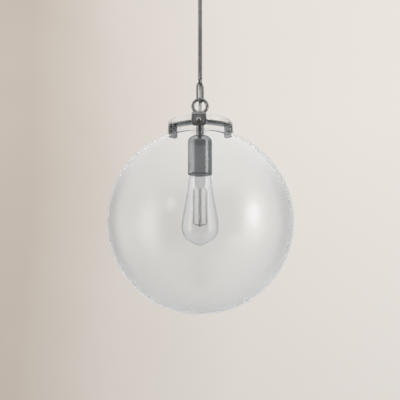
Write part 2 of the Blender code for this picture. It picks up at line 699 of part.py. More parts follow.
def build_crossbar():
    """Strap on the ceiling box, with the screws that hold it and the canopy."""
    end = (CROSSBAR_L - CROSSBAR_W) / 2
    strap = plate("mounting_strap", "steel", stadium(-end, end, CROSSBAR_W / 2, 8), -CROSSBAR_T, 0.0)
    drill(strap, CROSSBAR_HOLE_R, -CROSSBAR_T, 0.0, Matrix(), 24)
    drill(strap, SMALL_SCREW_R + FIT_GAP, -CROSSBAR_T, 0.0, at_spot(GROUND_SCREW_X))
    build_screw("ground_screw", "green", GROUND_SCREW_UP, GROUND_SCREW_X)
    for sign, label in ((-1, "left"), (1, "right")):
        inner, outer = sign * (BOX_SCREW_X - SLOT_IN), sign * (BOX_SCREW_X + SLOT_OUT)
        slot = stadium(min(inner, outer), max(inner, outer), SLOT_R, 6)
        combine(strap, plate("slot", None, slot, -2 * CROSSBAR_T, CROSSBAR_T), "DIFFERENCE")
        drill(strap, SMALL_SCREW_R + FIT_GAP, -CROSSBAR_T, 0.0, at_spot(sign * CANOPY_SCREW_X))
        build_screw("box_screw_" + label, "steel", BOX_SCREW_UP, sign * BOX_SCREW_X)
        low = build_cap_nut("cap_nut_" + label, sign * CANOPY_SCREW_X)
        spot = at_spot(sign * CANOPY_SCREW_X)
        rod_shape("canopy_screw_" + label, "steel", SMALL_SCREW_R, low, 1.5 * CROSSBAR_T, 16, spot)


def build_hub():
    hub = plate("hub", "nickel", hexagon(HUB_R / math.cos(math.radians(30.0))), HUB_LOW_Z, HUB_TOP_Z)
    drill(hub, NIPPLE_R + FIT_GAP, HUB_LOW_Z, HUB_TOP_Z, Matrix(), 24)


def build_arm(label, azimuth):
    """Flat strap out from the hub, bent down outside the neck, with a rounded foot."""
    outer_bend = BEND_R + STRAP_T
    bend_x, bend_z = LEG_OUT_R - outer_bend, HUB_TOP_Z - outer_bend
    start = HUB_R + SEAT_GAP
    edge = [(start, HUB_LOW_Z)] + arc(bend_x, bend_z, BEND_R, 90.0, 0.0, 4)
    edge += [(LEG_IN_R, LEG_LOW_Z - STRAP_T), (LEG_OUT_R, LEG_LOW_Z - STRAP_T)]
    edge += arc(bend_x, bend_z, outer_bend, 0.0, 90.0, 6) + [(start, HUB_TOP_Z)]
    on_edge = facing(azimuth) @ Matrix.Rotation(math.radians(90.0), 4, "X")
    arm = plate("arm_" + label, "nickel", edge, -FOOT_W, FOOT_W, on_edge)
    top, foot, above = STRAP_W / 2, FOOT_W / 2, HUB_TOP_Z + STRAP_T
    corner_x, corner_z = foot - FOOT_ROUND, LEG_LOW_Z + FOOT_ROUND
    face = arc(-corner_x, corner_z, FOOT_ROUND, 180.0, 270.0, 6)
    face += arc(corner_x, corner_z, FOOT_ROUND, 270.0, 360.0, 6)
    face += [(top, above), (-top, above)]
    seen_from_outside = facing(azimuth + 90.0) @ Matrix.Rotation(math.radians(90.0), 4, "X")
    combine(arm, plate("trim", None, face, 0.0, 2 * LEG_OUT_R, seen_from_outside), "INTERSECT")
    drill(arm, SHAFT_R + THREAD_GAP, LEG_IN_R, LEG_OUT_R, outward(azimuth, SCREW_Z))


def build_thumbscrew(label, azimuth):
    """Boss on the leg, and the domed screw through it whose soft tip bears on the neck."""
    place = outward(azimuth, SCREW_Z)
    hole_r = SHAFT_R + THREAD_GAP
    boss = [(hole_r, BOSS_SEAT_R), (BOSS_R, BOSS_SEAT_R), (BOSS_R, BOSS_SEAT_R + BOSS_T - BOSS_EDGE)]
    boss += [(BOSS_R - BOSS_EDGE, BOSS_SEAT_R + BOSS_T), (hole_r, BOSS_SEAT_R + BOSS_T)]
    lathe("boss_" + label, "nickel", boss, 20, place)
    rim = HEAD_SEAT_R + HEAD_RIM_H
    profile = [(0.0, TIP_OUT_R + SEAT_GAP), (SHAFT_R, TIP_OUT_R + SEAT_GAP), (SHAFT_R, HEAD_SEAT_R)]
    profile += [(HEAD_R - HEAD_EDGE, HEAD_SEAT_R), (HEAD_R, HEAD_SEAT_R + HEAD_EDGE)]
    for r, rise in arc(0.0, 0.0, 1.0, 0.0, 72.0, 4):
        profile.append((HEAD_R * r, rim + HEAD_DOME_H * rise))
    profile.append((0.0, rim + HEAD_DOME_H))
    lathe("thumbscrew_" + label, "nickel", profile, 16, place)
    rod_shape("soft_tip_" + label, "nylon", TIP_R, NECK_R + SEAT_GAP, TIP_OUT_R, 16, place)


def build_spider():
    build_hub()
    for label, azimuth in ARM_AZIMUTHS.items():
        build_arm(label, azimuth)
        build_thumbscrew(label, azimuth)


def build_globe():
    """Blown sphere, open at a short neck with a rounded lip."""
    fillet_x = NECK_R + FILLET_R
    meet = math.degrees(math.asin(fillet_x / (GLOBE_R + FILLET_R)))
    fillet_z = GLOBE_Z + (GLOBE_R + FILLET_R) * math.cos(math.radians(meet))
    outer = arc(0.0, GLOBE_Z, GLOBE_R, -90.0, 90.0 - meet, 12)
    outer += arc(fillet_x, fillet_z, FILLET_R, 270.0 - meet, 180.0, 3)[1:]
    lip_low = RIM_Z - LIP_H
    step = LIP_R - NECK_R
    outer += [(NECK_R, lip_low - step), (LIP_R, lip_low)]
    outer += arc(LIP_R - LIP_ROUND, RIM_Z - LIP_ROUND, LIP_ROUND, 0.0, 90.0, 3)
    neck_in = NECK_R - NECK_T
    inner_r = GLOBE_R - GLASS_T
    outer += arc(neck_in + LIP_ROUND, RIM_Z - LIP_ROUND, LIP_ROUND, 90.0, 180.0, 3)
    mouth = math.degrees(math.acos((neck_in + 2 * MM) / inner_r))
    inner = arc(0.0, GLOBE_Z, inner_r, mouth, -90.0, 12)
    inner.insert(0, (neck_in, inner[0][1] + FILLET_R))
    profile = outer + inner
    profile[0] = (0.0, GLOBE_Z - GLOBE_R)
    profile[-1] = (0.0, GLOBE_Z - inner_r)
    lathe("globe_glass", "glass", profile, 36, Matrix(), FIXTURE_PIVOT)


def build_stem():
    hole_r = NIPPLE_R + FIT_GAP
    pipe("stem_tube", "nickel", STEM_R, hole_r, STEM_LOW_Z, STEM_TOP_Z, 32, FIXTURE_PIVOT)
    nut_low = CUP_NUT_Z - NUT_T
    nipple_top = HUB_TOP_Z + NIPPLE_GRIP
    nipple_low = nut_low - NIPPLE_SPARE
    pipe("stem_nipple", "steel", NIPPLE_R, NIPPLE_BORE_R, nipple_low, nipple_top, 24, FIXTURE_PIVOT)
    build_nut("cup_locknut", nut_low, FIXTURE_PIVOT)


def dome(radius, height, low):
    """Quarter-ellipse shoulder from a flat top out to the side, as (radius, height)."""
    points = []
    for across, rise in arc(0.0, 0.0, 1.0, 90.0, 0.0, 5):
        points.append((CUP_FLAT_R + (radius - CUP_FLAT_R) * across, low + height * rise))
    return points


def build_cup():
    hole_r = NIPPLE_R + FIT_GAP
    side_z = CUP_TOP_Z - CUP_DOME_H
    inner_r = CUP_R - CUP_T
    profile = [(hole_r, CUP_TOP_Z)] + dome(CUP_R, CUP_DOME_H, side_z)
    profile += [(CUP_R, CUP_LOW_Z + CUP_EDGE), (CUP_R - CUP_EDGE, CUP_LOW_Z), (inner_r, CUP_LOW_Z)]
    profile += dome(inner_r, CUP_DOME_H - CUP_T, side_z)[::-1] + [(hole_r, CUP_TOP_Z - CUP_T)]
    lathe("socket_cup", "nickel", profile, 28, Matrix(), FIXTURE_PIVOT)


def ridges(radius, depth, low, high, turns):
    """Thread ridges between two heights, as (radius, height) points from low to high."""
    points = []
    for i in range(2 * turns + 1):
        points.append((radius - depth * (i % 2), low + (high - low) * i / (2 * turns)))
    return points


def build_socket():
    wall_r = SHELL_R + SHELL_GAP
    lead_z = SOCKET_TOP_Z - LEAD_HOLE_H
    body = [(SOCKET_R - SOCKET_EDGE, SOCKET_LOW_Z), (SOCKET_R, SOCKET_LOW_Z + SOCKET_EDGE)]
    body += [(SOCKET_R, SOCKET_TOP_Z - SOCKET_TAPER_H), (SOCKET_R - SOCKET_TAPER, SOCKET_TOP_Z)]
    body += [(LEAD_HOLE_R, SOCKET_TOP_Z), (LEAD_HOLE_R, lead_z), (0.0, lead_z)]
    body += [(0.0, SOCKET_HOLLOW_Z), (wall_r, SOCKET_HOLLOW_Z), (wall_r, SOCKET_LOW_Z)]
    lathe("socket_body", "phenolic", body, 24, Matrix(), FIXTURE_PIVOT)
    low = SOCKET_LOW_Z + SHELL_T
    high = SOCKET_HOLLOW_Z - SEAT_GAP
    shell = [(SHELL_R, high), (SHELL_R, low)]
    shell += ridges(SHELL_R - SHELL_T, SHELL_RIDGE, low, high - SHELL_T, SHELL_TURNS)
    shell += [(SHELL_R * 0.6, high - SHELL_T), (SHELL_R * 0.6, high)]
    lathe("socket_shell", "brass", shell, 18, Matrix(), FIXTURE_PIVOT)


def build_bulb_base():
    run_in = BASE_RUN_IN
    collar = CONTACT_R + CONTACT_PLAY
    inside_r = BASE_R - BASE_RIDGE - BASE_SKIN
    base = [(BASE_R, BASE_LOW_Z)]
    base += ridges(BASE_R, BASE_RIDGE, BASE_LOW_Z + run_in, BASE_TOP_Z - run_in, BASE_TURNS)
    base += [(BASE_R * 0.72, BASE_TOP_Z), (collar, BASE_TOP_Z), (collar, BASE_TOP_Z - BASE_SKIN)]
    base += [(BASE_R * 0.7, BASE_TOP_Z - BASE_SKIN), (inside_r, BASE_TOP_Z - run_in - BASE_SKIN)]
    base += [(inside_r, BASE_LOW_Z)]
    lathe("bulb_base", "brass", base, 18)
    low = BASE_TOP_Z - CONTACT_DEPTH
    tip = [(0.0, low), (CONTACT_R, low), (CONTACT_R, BASE_TOP_Z + CONTACT_H * 0.4)]
    tip += [(CONTACT_R * 0.7, BASE_TOP_Z + CONTACT_H * 0.9), (0.0, BASE_TOP_Z + CONTACT_H)]
    lathe("bulb_contact", "steel", tip, 20)


def inset(points, depth):
    """The same outline moved in towards the axis side by a wall's thickness."""
    moved = []
    for i, (r, z) in enumerate(points):
        before, after = points[max(i - 1, 0)], points[min(i + 1, len(points) - 1)]
        run = Vector((after[0] - before[0], after[1] - before[1])).normalized()
        moved.append((max(r + run.y * depth, 0.0), z - run.x * depth))
    return moved


def build_bulb_glass():
    tip_z = CUP_LOW_Z - BULB_DROP
    outer = [(BULB_MOUTH_R, BULB_MOUTH_Z)]
    outer += [(r, CUP_LOW_Z - drop) for r, drop in BULB_OUTLINE]
    outer.append((0.0, tip_z))
    inner = inset(outer, BULB_GLASS_T)
    inner[0] = (BULB_MOUTH_R - BULB_GLASS_T, BULB_MOUTH_Z)
    inner[-1] = (0.0, tip_z + BULB_GLASS_T)
    lathe("bulb_glass", "glass", outer + inner[::-1], 24)


def build_bulb_mount():
    """Hollow glass stem that closes the bulb round its leads."""
    mouth_z = BULB_MOUTH_Z + MOUNT_RISE
    waist_z = POST_TOP_Z + MOUNT_DROP / 2
    floor_z = POST_TOP_Z + MOUNT_FLOOR_T
    outer = [(MOUNT_R, mouth_z), (MOUNT_R, waist_z), (MOUNT_R * 0.8, POST_TOP_Z + MOUNT_TAPER_H)]
    outer += [(MOUNT_R * 0.45, POST_TOP_Z), (0.0, POST_TOP_Z)]
    inner = [(MOUNT_R - MOUNT_T, mouth_z), (MOUNT_R - MOUNT_T, waist_z)]
    inner += [(MOUNT_R * 0.65, POST_TOP_Z + MOUNT_TAPER_H + 1.5 * MOUNT_T), (MOUNT_R * 0.3, floor_z)]
    inner += [(0.0, floor_z)]
    lathe("bulb_mount", "glass", outer + inner[::-1], 20)


def build_filaments():
    plate_top = POST_LOW_Z + PLATE_LIFT
    plate_low = plate_top - PLATE_T
    top = POST_TOP_Z - SEAT_GAP
    post = [(0.0, top), (POST_R, top), (POST_R, plate_top), (PLATE_R, plate_top), (PLATE_R, plate_low)]
    post += [(POST_R, plate_low), (POST_R * 0.7, POST_LOW_Z), (0.0, POST_LOW_Z)]
    lathe("filament_post", "glass", post, 20)
    low, high = plate_low, POST_TOP_Z - FILAMENT_END_GAP
    stick = [(0.0, low), (FILAMENT_TIP_R, low), (FILAMENT_R, low + FILAMENT_TIP_H)]
    stick += [(FILAMENT_R, high - FILAMENT_TIP_H), (FILAMENT_TIP_R, high), (0.0, high)]
    for index in range(FILAMENT_COUNT):
        turn = facing(FILAMENT_TURN + 360.0 / FILAMENT_COUNT * index)
        lathe("filament_%d" % (index + 1), "phosphor", stick, 10, turn @ at_spot(FILAMENT_RING_R))


clear_scene()
build_crossbar()
build_canopy()
build_wire_nuts()
build_chain()
build_cord()
build_ground()
build_spider()
build_globe()
build_stem()
build_cup()
build_socket()
build_bulb_base()
build_bulb_glass()
build_bulb_mount()
build_filaments()
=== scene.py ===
"""Looks of the glass globe pendant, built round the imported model. Metres, +Z up, front -Y."""

import math

import bmesh
import bpy
from mathutils import Matrix, Vector


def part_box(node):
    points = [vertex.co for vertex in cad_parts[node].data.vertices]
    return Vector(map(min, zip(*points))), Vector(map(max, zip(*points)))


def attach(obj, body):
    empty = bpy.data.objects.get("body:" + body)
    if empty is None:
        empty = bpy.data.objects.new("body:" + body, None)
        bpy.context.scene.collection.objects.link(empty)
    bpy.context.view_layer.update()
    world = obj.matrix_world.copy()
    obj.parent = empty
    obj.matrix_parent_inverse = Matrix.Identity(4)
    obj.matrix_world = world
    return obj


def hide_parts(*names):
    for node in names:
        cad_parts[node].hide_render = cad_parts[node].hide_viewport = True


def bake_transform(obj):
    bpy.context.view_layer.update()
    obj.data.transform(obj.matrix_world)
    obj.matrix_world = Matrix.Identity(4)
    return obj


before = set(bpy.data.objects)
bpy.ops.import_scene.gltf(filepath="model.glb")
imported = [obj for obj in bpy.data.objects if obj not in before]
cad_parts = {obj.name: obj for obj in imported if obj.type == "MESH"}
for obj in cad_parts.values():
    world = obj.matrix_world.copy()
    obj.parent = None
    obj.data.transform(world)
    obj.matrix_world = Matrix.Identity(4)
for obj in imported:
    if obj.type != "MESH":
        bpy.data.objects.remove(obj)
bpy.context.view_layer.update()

MM = 0.001
EYE_AZIMUTH = 28.0
LINK_AZIMUTH = 53.0
ARM_AZIMUTHS = {"front": 270.0, "right": 30.0, "left": 150.0}


def low(node):
    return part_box(node)[0].z


def high(node):
    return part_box(node)[1].z


# ---------------------------------------------------------------- materials


def new_material(name):
    material = bpy.data.materials.new(name)
    material.use_nodes = True
    return material, material.node_tree.nodes, material.node_tree.links


def noise(nodes, links, scale, detail=3.0, stretch=None):
    """Noise laid on the object's own coordinates, scale in cells to the metre."""
    coords = nodes.new("ShaderNodeTexCoord")
    texture = nodes.new("ShaderNodeTexNoise")
    texture.inputs["Scale"].default_value = scale
    texture.inputs["Detail"].default_value = detail
    if stretch:
        mapping = nodes.new("ShaderNodeMapping")
        mapping.inputs["Scale"].default_value = stretch
        links.new(coords.outputs["Object"], mapping.inputs["Vector"])
        links.new(mapping.outputs["Vector"], texture.inputs["Vector"])
    else:
        links.new(coords.outputs["Object"], texture.inputs["Vector"])
    return texture.outputs["Fac"]


def spread(nodes, links, value, lowest, highest):
    """Stretches a noise value over a range."""
    remap = nodes.new("ShaderNodeMapRange")
    remap.inputs["From Min"].default_value = 0.3
    remap.inputs["From Max"].default_value = 0.7
    remap.inputs["To Min"].default_value = lowest
    remap.inputs["To Max"].default_value = highest
    links.new(value, remap.inputs["Value"])
    return remap.outputs["Result"]


def map_range(nodes, links, value, from_low, from_high, to_low, to_high):
    remap = nodes.new("ShaderNodeMapRange")
    remap.inputs["From Min"].default_value = from_low
    remap.inputs["From Max"].default_value = from_high
    remap.inputs["To Min"].default_value = to_low
    remap.inputs["To Max"].default_value = to_high
    links.new(value, remap.inputs["Value"])
    return remap.outputs["Result"]


def ramp(nodes, links, value, stops):
    """Colour along a run of stops, each a position and a colour."""
    band = nodes.new("ShaderNodeValToRGB")
    band.color_ramp.elements[1].position = 1.0
    for _ in stops[2:]:
        band.color_ramp.elements.new(0.5)
    for element, (place, tone) in zip(band.color_ramp.elements, stops):
        element.position = place
        element.color = (*tone, 1.0)
    links.new(value, band.inputs["Fac"])
    return band.outputs["Color"]


def blend_colours(nodes, links, value, first, second):
    ramp = nodes.new("ShaderNodeValToRGB")
    ramp.color_ramp.elements[0].position = 0.34
    ramp.color_ramp.elements[0].color = (*first, 1.0)
    ramp.color_ramp.elements[1].position = 0.66
    ramp.color_ramp.elements[1].color = (*second, 1.0)
    links.new(value, ramp.inputs["Fac"])
    return ramp.outputs["Color"]


def add_bump(nodes, links, shader, value, depth, strength=1.0):
    bump = nodes.new("ShaderNodeBump")
    bump.inputs["Distance"].default_value = depth
    bump.inputs["Strength"].default_value = strength
    links.new(value, bump.inputs["Height"])
    links.new(bump.outputs["Normal"], shader.inputs["Normal"])


def surface(name, first, second, metallic, smooth, rough, tone_scale, grain_scale, grain_depth, stretch=None):
    """Metal, plastic or rubber: two close colours, uneven gloss and a fine grain."""
    material, nodes, links = new_material(name)
    shader = nodes["Principled BSDF"]
    shader.inputs["Metallic"].default_value = metallic
    tone = noise(nodes, links, tone_scale, 4.0)
    links.new(blend_colours(nodes, links, tone, first, second), shader.inputs["Base Color"])
    gloss = noise(nodes, links, tone_scale * 2.7, 5.0, stretch)
    links.new(spread(nodes, links, gloss, smooth, rough), shader.inputs["Roughness"])
    add_bump(nodes, links, shader, noise(nodes, links, grain_scale, 2.0, stretch), grain_depth)
    return material


def glass(name, tint, edge, ior, wave_scale, wave_depth, haze, weight=1.0, coat=(0.0, 0.0), edge_shade_blend=0.3):
    """Clear blown glass with slow waves in it and a faint uneven haze. Its colour darkens where it is seen edge-on:
    partly the longer path through the glass, partly painted shade for the dark outlines.
    """
    material, nodes, links = new_material(name)
    shader = nodes["Principled BSDF"]
    # Painted shade: Layer Weight turns the base colour towards the edge colour where the surface is seen edge-on.
    rim = nodes.new("ShaderNodeLayerWeight")
    rim.inputs["Blend"].default_value = edge_shade_blend
    tone = nodes.new("ShaderNodeValToRGB")
    tone.color_ramp.elements[0].position = 0.35
    tone.color_ramp.elements[0].color = (*tint, 1.0)
    tone.color_ramp.elements[1].position = 0.95
    tone.color_ramp.elements[1].color = (*edge, 1.0)
    links.new(rim.outputs["Facing"], tone.inputs["Fac"])
    links.new(tone.outputs["Color"], shader.inputs["Base Color"])
    shader.inputs["Transmission Weight"].default_value = weight
    shader.inputs["IOR"].default_value = ior
    shader.inputs["Coat Weight"].default_value = coat[0]
    shader.inputs["Coat Roughness"].default_value = coat[1]
    shader.inputs["Coat IOR"].default_value = 1.5
    film = noise(nodes, links, wave_scale * 3.0, 3.0)
    links.new(spread(nodes, links, film, 0.0, haze), shader.inputs["Roughness"])
    add_bump(nodes, links, shader, noise(nodes, links, wave_scale, 1.0), wave_depth)
    return material


LOOKS = {
    "nickel": surface(
        "dark_nickel", (0.268, 0.262, 0.258), (0.33, 0.325, 0.32), 1.0, 0.13, 0.22, 60.0, 1600.0, 0.000004
    ),
    "zinc_steel": surface(
        "zinc_plate", (0.50, 0.51, 0.52), (0.62, 0.62, 0.60), 1.0, 0.28, 0.45, 140.0, 900.0, 0.00001
    ),
    "brass_shell": surface(
        "drawn_brass", (0.62, 0.50, 0.30), (0.74, 0.62, 0.40), 1.0, 0.22, 0.36, 120.0, 1100.0, 0.000006
    ),
    "ground_wire": surface(
        "tinned_wire", (0.50, 0.50, 0.495), (0.60, 0.60, 0.59), 1.0, 0.28, 0.42, 300.0, 1500.0, 0.000005
    ),
    "cord_jacket": surface(
        "silver_cord", (0.56, 0.56, 0.56), (0.64, 0.64, 0.635), 0.35, 0.28, 0.42, 200.0, 2500.0, 0.00001
    ),
    "connector": surface(
        "orange_cap", (0.70, 0.22, 0.05), (0.78, 0.28, 0.08), 0.0, 0.38, 0.52, 150.0, 1200.0, 0.00002
    ),
    "soft_tip": surface(
        "nylon", (0.80, 0.79, 0.75), (0.86, 0.85, 0.82), 0.0, 0.45, 0.6, 250.0, 1500.0, 0.00001
    ),
    "socket_body": surface(
        "phenolic", (0.030, 0.028, 0.027), (0.045, 0.043, 0.042), 0.0, 0.30, 0.46, 120.0, 1400.0, 0.00001
    ),
    "ground_screw": surface(
        "green_plate", (0.05, 0.26, 0.09), (0.08, 0.34, 0.13), 0.7, 0.3, 0.45, 300.0, 1200.0, 0.000008
    ),
    # The edge colours of the strip, bulb and stem glass are painted shade for their dark outlines.
    "filament": glass("coated_strip", (0.86, 0.85, 0.82), (0.30, 0.30, 0.30), 1.3, 400.0, 0.00001, 0.3, 0.75),
    "globe_glass": glass(
        "clear_globe", (0.972, 0.988, 0.999), (0.955, 0.965, 0.972), 1.01, 9.0, 0.00002, 0.004, 1.0, (1.0, 0.24)
    ),
    "bulb_glass": glass(
        "clear_bulb", (0.985, 0.988, 0.992), (0.78, 0.78, 0.79), 1.03, 30.0, 0.00001, 0.01, 1.0, (1.0, 0.06)
    ),
    "bulb_inner_glass": glass("stem_glass", (0.86, 0.87, 0.88), (0.45, 0.46, 0.47), 1.05, 60.0, 0.00001, 0.05),
}


# ---------------------------------------------------------------- shapes


def facing(azimuth):
    return Matrix.Rotation(math.radians(azimuth), 4, "Z")


def outward(azimuth, height):
    """Local +Z points away from the axis at the azimuth."""
    return Matrix.Translation((0.0, 0.0, height)) @ facing(azimuth) @ Matrix.Rotation(math.pi / 2, 4, "Y")


def arc(centre_x, centre_y, radius, start, stop, steps):
    points = []
    for i in range(steps + 1):
        angle = math.radians(start + (stop - start) * i / steps)
        points.append((centre_x + radius * math.cos(angle), centre_y + radius * math.sin(angle)))
    return points


def soften(corners, size, closed=True, steps=4):
    """Rounds the corners of an outline. A corner may carry its own size as a third number."""
    points = []
    count = len(corners)
    for i, corner in enumerate(corners):
        here = Vector(corner[:2])
        reach = corner[2] if len(corner) > 2 else size
        on_axis = abs(here.x) < 1e-7
        if reach <= 0 or on_axis or (not closed and i in (0, count - 1)):
            points.append((here.x, here.y))
            continue
        before = Vector(corners[i - 1][:2]) - here
        after = Vector(corners[(i + 1) % count][:2]) - here
        reach = min(reach, before.length * 0.45, after.length * 0.45)
        a = here + before.normalized() * reach
        b = here + after.normalized() * reach
        for k in range(steps + 1):
            t = k / steps
            spot = a * (1 - t) ** 2 + here * (2 * t * (1 - t)) + b * t**2
            points.append((spot.x, spot.y))
    return points


def through(points, pieces):
    """A smooth curve through points of any size, ends kept."""
    knots = [Vector(p) for p in points]
    knots = [2 * knots[0] - knots[1]] + knots + [2 * knots[-1] - knots[-2]]
    route = []
    for i in range(1, len(knots) - 2):
        a, b, c, d = knots[i - 1 : i + 3]
        for k in range(pieces):
            t = k / pieces
            route.append(
                b + ((c - a) * t + (2 * a - 5 * b + 4 * c - d) * t**2 + (3 * b - a - 3 * c + d) * t**3) / 2
            )
    route.append(knots[-2])
    return route


def to_object(name, bm, place=None, sharp=32.0):
    bmesh.ops.recalc_face_normals(bm, faces=bm.faces)
    if place is not None:
        bmesh.ops.transform(bm, matrix=place, verts=bm.verts)
    mesh = bpy.data.meshes.new(name)
    bm.to_mesh(mesh)
    bm.free()
    mesh.shade_smooth()
    mesh.set_sharp_from_angle(angle=math.radians(sharp))
    obj = bpy.data.objects.new(name, mesh)
    bpy.context.scene.collection.objects.link(obj)
    return obj


def turn(name, profile, steps=64, place=None, shape=None, sharp=32.0):
    """Spins an outline of (radius, height) about Z. shape(radius, height, angle) may change each point."""
    bm = bmesh.new()
    rows = []
    for radius, height in profile:
        if radius < 1e-7:
            rows.append([bm.verts.new((0.0, 0.0, height))])
            continue
        row = []
        for i in range(steps):
            angle = 2 * math.pi * i / steps
            r, z = shape(radius, height, angle) if shape else (radius, height)
            row.append(bm.verts.new((r * math.cos(angle), r * math.sin(angle), z)))
        rows.append(row)
    for here, there in zip(rows, rows[1:] + rows[:1]):
        for i in range(steps):
            j = (i + 1) % steps
            if len(here) == 1 and len(there) == 1:
                break
            if len(here) == 1:
                bm.faces.new((here[0], there[j], there[i]))
            elif len(there) == 1:
                bm.faces.new((here[i], here[j], there[0]))
            else:
                bm.faces.new((here[i], here[j], there[j], there[i]))
    return to_object(name, bm, place, sharp)


def slab(name, outline, bottom, top, place=None):
    bm = bmesh.new()
    face = bm.faces.new([bm.verts.new((x, y, bottom)) for x, y in outline])
    raised = bmesh.ops.extrude_face_region(bm, geom=[face])["geom"]
    corners = [item for item in raised if isinstance(item, bmesh.types.BMVert)]
    bmesh.ops.translate(bm, verts=corners, vec=(0.0, 0.0, top - bottom))
    return to_object(name, bm, place)


def tube(name, route, radius, sides=16, closed=False, place=None):
    """Round bar along a route, its section carried along without twisting."""
    points = [Vector(p) for p in route]
    count = len(points)
    bm = bmesh.new()
    rings, side = [], None
    for i, point in enumerate(points):
        before = points[i - 1] if closed or i else points[0]
        after = points[(i + 1) % count] if closed or i < count - 1 else points[-1]
        ahead = (after - before).normalized()
        if side is None:
            side = ahead.orthogonal().normalized()
            if closed:
                side = (points[0] - points[count // 2]).normalized()
        side = (side - ahead * side.dot(ahead)).normalized()
        up = ahead.cross(side)
        ring = []
        for k in range(sides):
            angle = 2 * math.pi * k / sides
            ring.append(bm.verts.new(point + (side * math.cos(angle) + up * math.sin(angle)) * radius))
        rings.append(ring)
    pairs = list(zip(rings, rings[1:]))
    if closed:
        pairs.append((rings[-1], rings[0]))
    for here, there in pairs:
        for k in range(sides):
            m = (k + 1) % sides
            bm.faces.new((here[k], here[m], there[m], there[k]))
    if not closed:
        bm.faces.new(rings[0][::-1])
        bm.faces.new(rings[-1])
    return to_object(name, bm, place, 50.0)


def evaluated(obj):
    bpy.context.view_layer.update()
    return bpy.data.meshes.new_from_object(obj.evaluated_get(bpy.context.evaluated_depsgraph_get()))


def settle(obj, sharp=32.0):
    """Applies the object's modifiers to its mesh."""
    mesh = evaluated(obj)
    obj.modifiers.clear()
    obj.data = mesh
    mesh.shade_smooth()
    mesh.set_sharp_from_angle(angle=math.radians(sharp))
    return obj


def boolean(target, tool, operation="DIFFERENCE"):
    change = target.modifiers.new("cut", "BOOLEAN")
    change.operation = operation
    change.solver = "EXACT"
    change.object = tool
    settle(target)
    bpy.data.objects.remove(tool, do_unlink=True)
    return target


def drill(target, radius, bottom, top, place=None, steps=40):
    past = 3.0 * MM
    tool = turn("drill", [(0.0, bottom - past), (radius, bottom - past), (radius, top + past), (0.0, top + past)], steps, place)
    return boolean(target, tool)


def ease_edges(target, width, segments=2):
    bevel = target.modifiers.new("edge", "BEVEL")
    bevel.width = width
    bevel.segments = segments
    bevel.limit_method = "ANGLE"
    bevel.angle_limit = math.radians(35.0)
    return settle(target, 40.0)


def fuse(name, parts, voxel, rounds):
    """Grows overlapping closed parts into one casting with soft inner corners."""
    bm = bmesh.new()
    for part in parts:
        bm.from_mesh(part.data)
        bpy.data.objects.remove(part, do_unlink=True)
    obj = to_object(name, bm)
    remesh = obj.modifiers.new("melt", "REMESH")
    remesh.mode = "VOXEL"
    remesh.voxel_size = voxel
    relax = obj.modifiers.new("relax", "SMOOTH")
    relax.factor = 0.5
    relax.iterations = rounds
    return settle(obj, 60.0)


def dress(obj, body, slot, *nodes):
    """Material, picked by the slot, and body of a finished piece that stands for CAD nodes, which are hidden."""
    obj.data.materials.clear()
    obj.data.materials.append(LOOKS[slot])
    if nodes:
        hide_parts(*nodes)
    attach(obj, body)
    return obj


# ---------------------------------------------------------------- screws, nuts and nipples


def threaded(radius, depth, pitch, bottom, top):
    """Rows and a shape function for a helical thread that fades out at both ends."""
    count = max(int((top - bottom) / (pitch / 8)), 8)
    rows = [(radius, bottom + (top - bottom) * i / count) for i in range(count + 1)]

    def shape(r, z, angle):
        if abs(r - radius) > 1e-6 or not bottom <= z <= top:
            return r, z
        fade = min(1.0, (z - bottom) / pitch, (top - z) / pitch)
        wave = 0.5 - 0.5 * math.cos(2 * math.pi * z / pitch - angle)
        return r - depth * (1.0 - fade) - depth * wave * fade, z

    return rows, shape


def nipple(name, node, body):
    z0, z1 = low(node), high(node)
    outer, bore = 4.8 * MM, 3.5 * MM
    rows, shape = threaded(outer, 0.28 * MM, 0.94 * MM, z0 + 0.3 * MM, z1 - 0.3 * MM)
    profile = [(bore, z0), (outer - 0.35 * MM, z0)] + rows + [(outer - 0.35 * MM, z1), (bore, z1)]
    dress(turn(name, profile, 48, shape=shape), body, "zinc_steel", node)


def locknut(name, node, body):
    z0, z1 = low(node), high(node)
    flat = 8.0 * MM
    nut = slab("nut", arc(0, 0, flat, 0, 300, 5), z0, z1)
    chamfer = 0.5 * MM
    bowl = [(0, z0), (flat * 0.9, z0), (flat * 1.02, z0 + chamfer), (flat * 1.02, z1 - chamfer), (flat * 0.9, z1), (0, z1)]
    boolean(nut, turn("bowl", bowl, 64), "INTERSECT")
    drill(nut, 4.95 * MM, z0, z1)
    nut.name = name
    ease_edges(nut, 0.12 * MM)
    dress(nut, body, "zinc_steel", node)


def pan_screw(name, node, body, slot, x, slot_width=0.9 * MM):
    """Pan head below, threaded shank above, with a driver slot."""
    z0, z1 = low(node), high(node)
    seat = z0 + 2.3 * MM
    radius, head = 1.9 * MM, 3.9 * MM
    rows, shape = threaded(radius, 0.2 * MM, 0.8 * MM, seat + 0.3 * MM, z1 - 0.2 * MM)
    rim = soften([(0, z0), (head * 0.62, z0, 1.0 * MM), (head, z0 + 1.0 * MM, 0.5 * MM), (head, seat, 0.25 * MM), (radius, seat, 0)], 0.3 * MM, False)
    profile = rim + rows + [(radius - 0.25 * MM, z1), (0, z1)]
    screw = turn(name, profile, 40, shape=shape)
    groove = slab("groove", [(-head, -slot_width / 2), (head, -slot_width / 2), (head, slot_width / 2), (-head, slot_width / 2)], z0 - 1 * MM, z0 + 0.9 * MM, facing(35.0))
    boolean(screw, groove)
    screw.data.transform(Matrix.Translation((x, 0, 0)))
    dress(screw, body, slot, node)


def set_screw(name, node, body, x):
    z0, z1 = low(node), high(node)
    radius = 1.9 * MM
    rows, shape = threaded(radius, 0.2 * MM, 0.8 * MM, z0 + 0.2 * MM, z1 - 0.2 * MM)
    profile = [(0, z0), (radius - 0.3 * MM, z0)] + rows + [(radius - 0.3 * MM, z1), (0, z1)]
    dress(turn(name, profile, 32, Matrix.Translation((x, 0, 0)), shape), body, "zinc_steel", node)


# ---------------------------------------------------------------- canopy


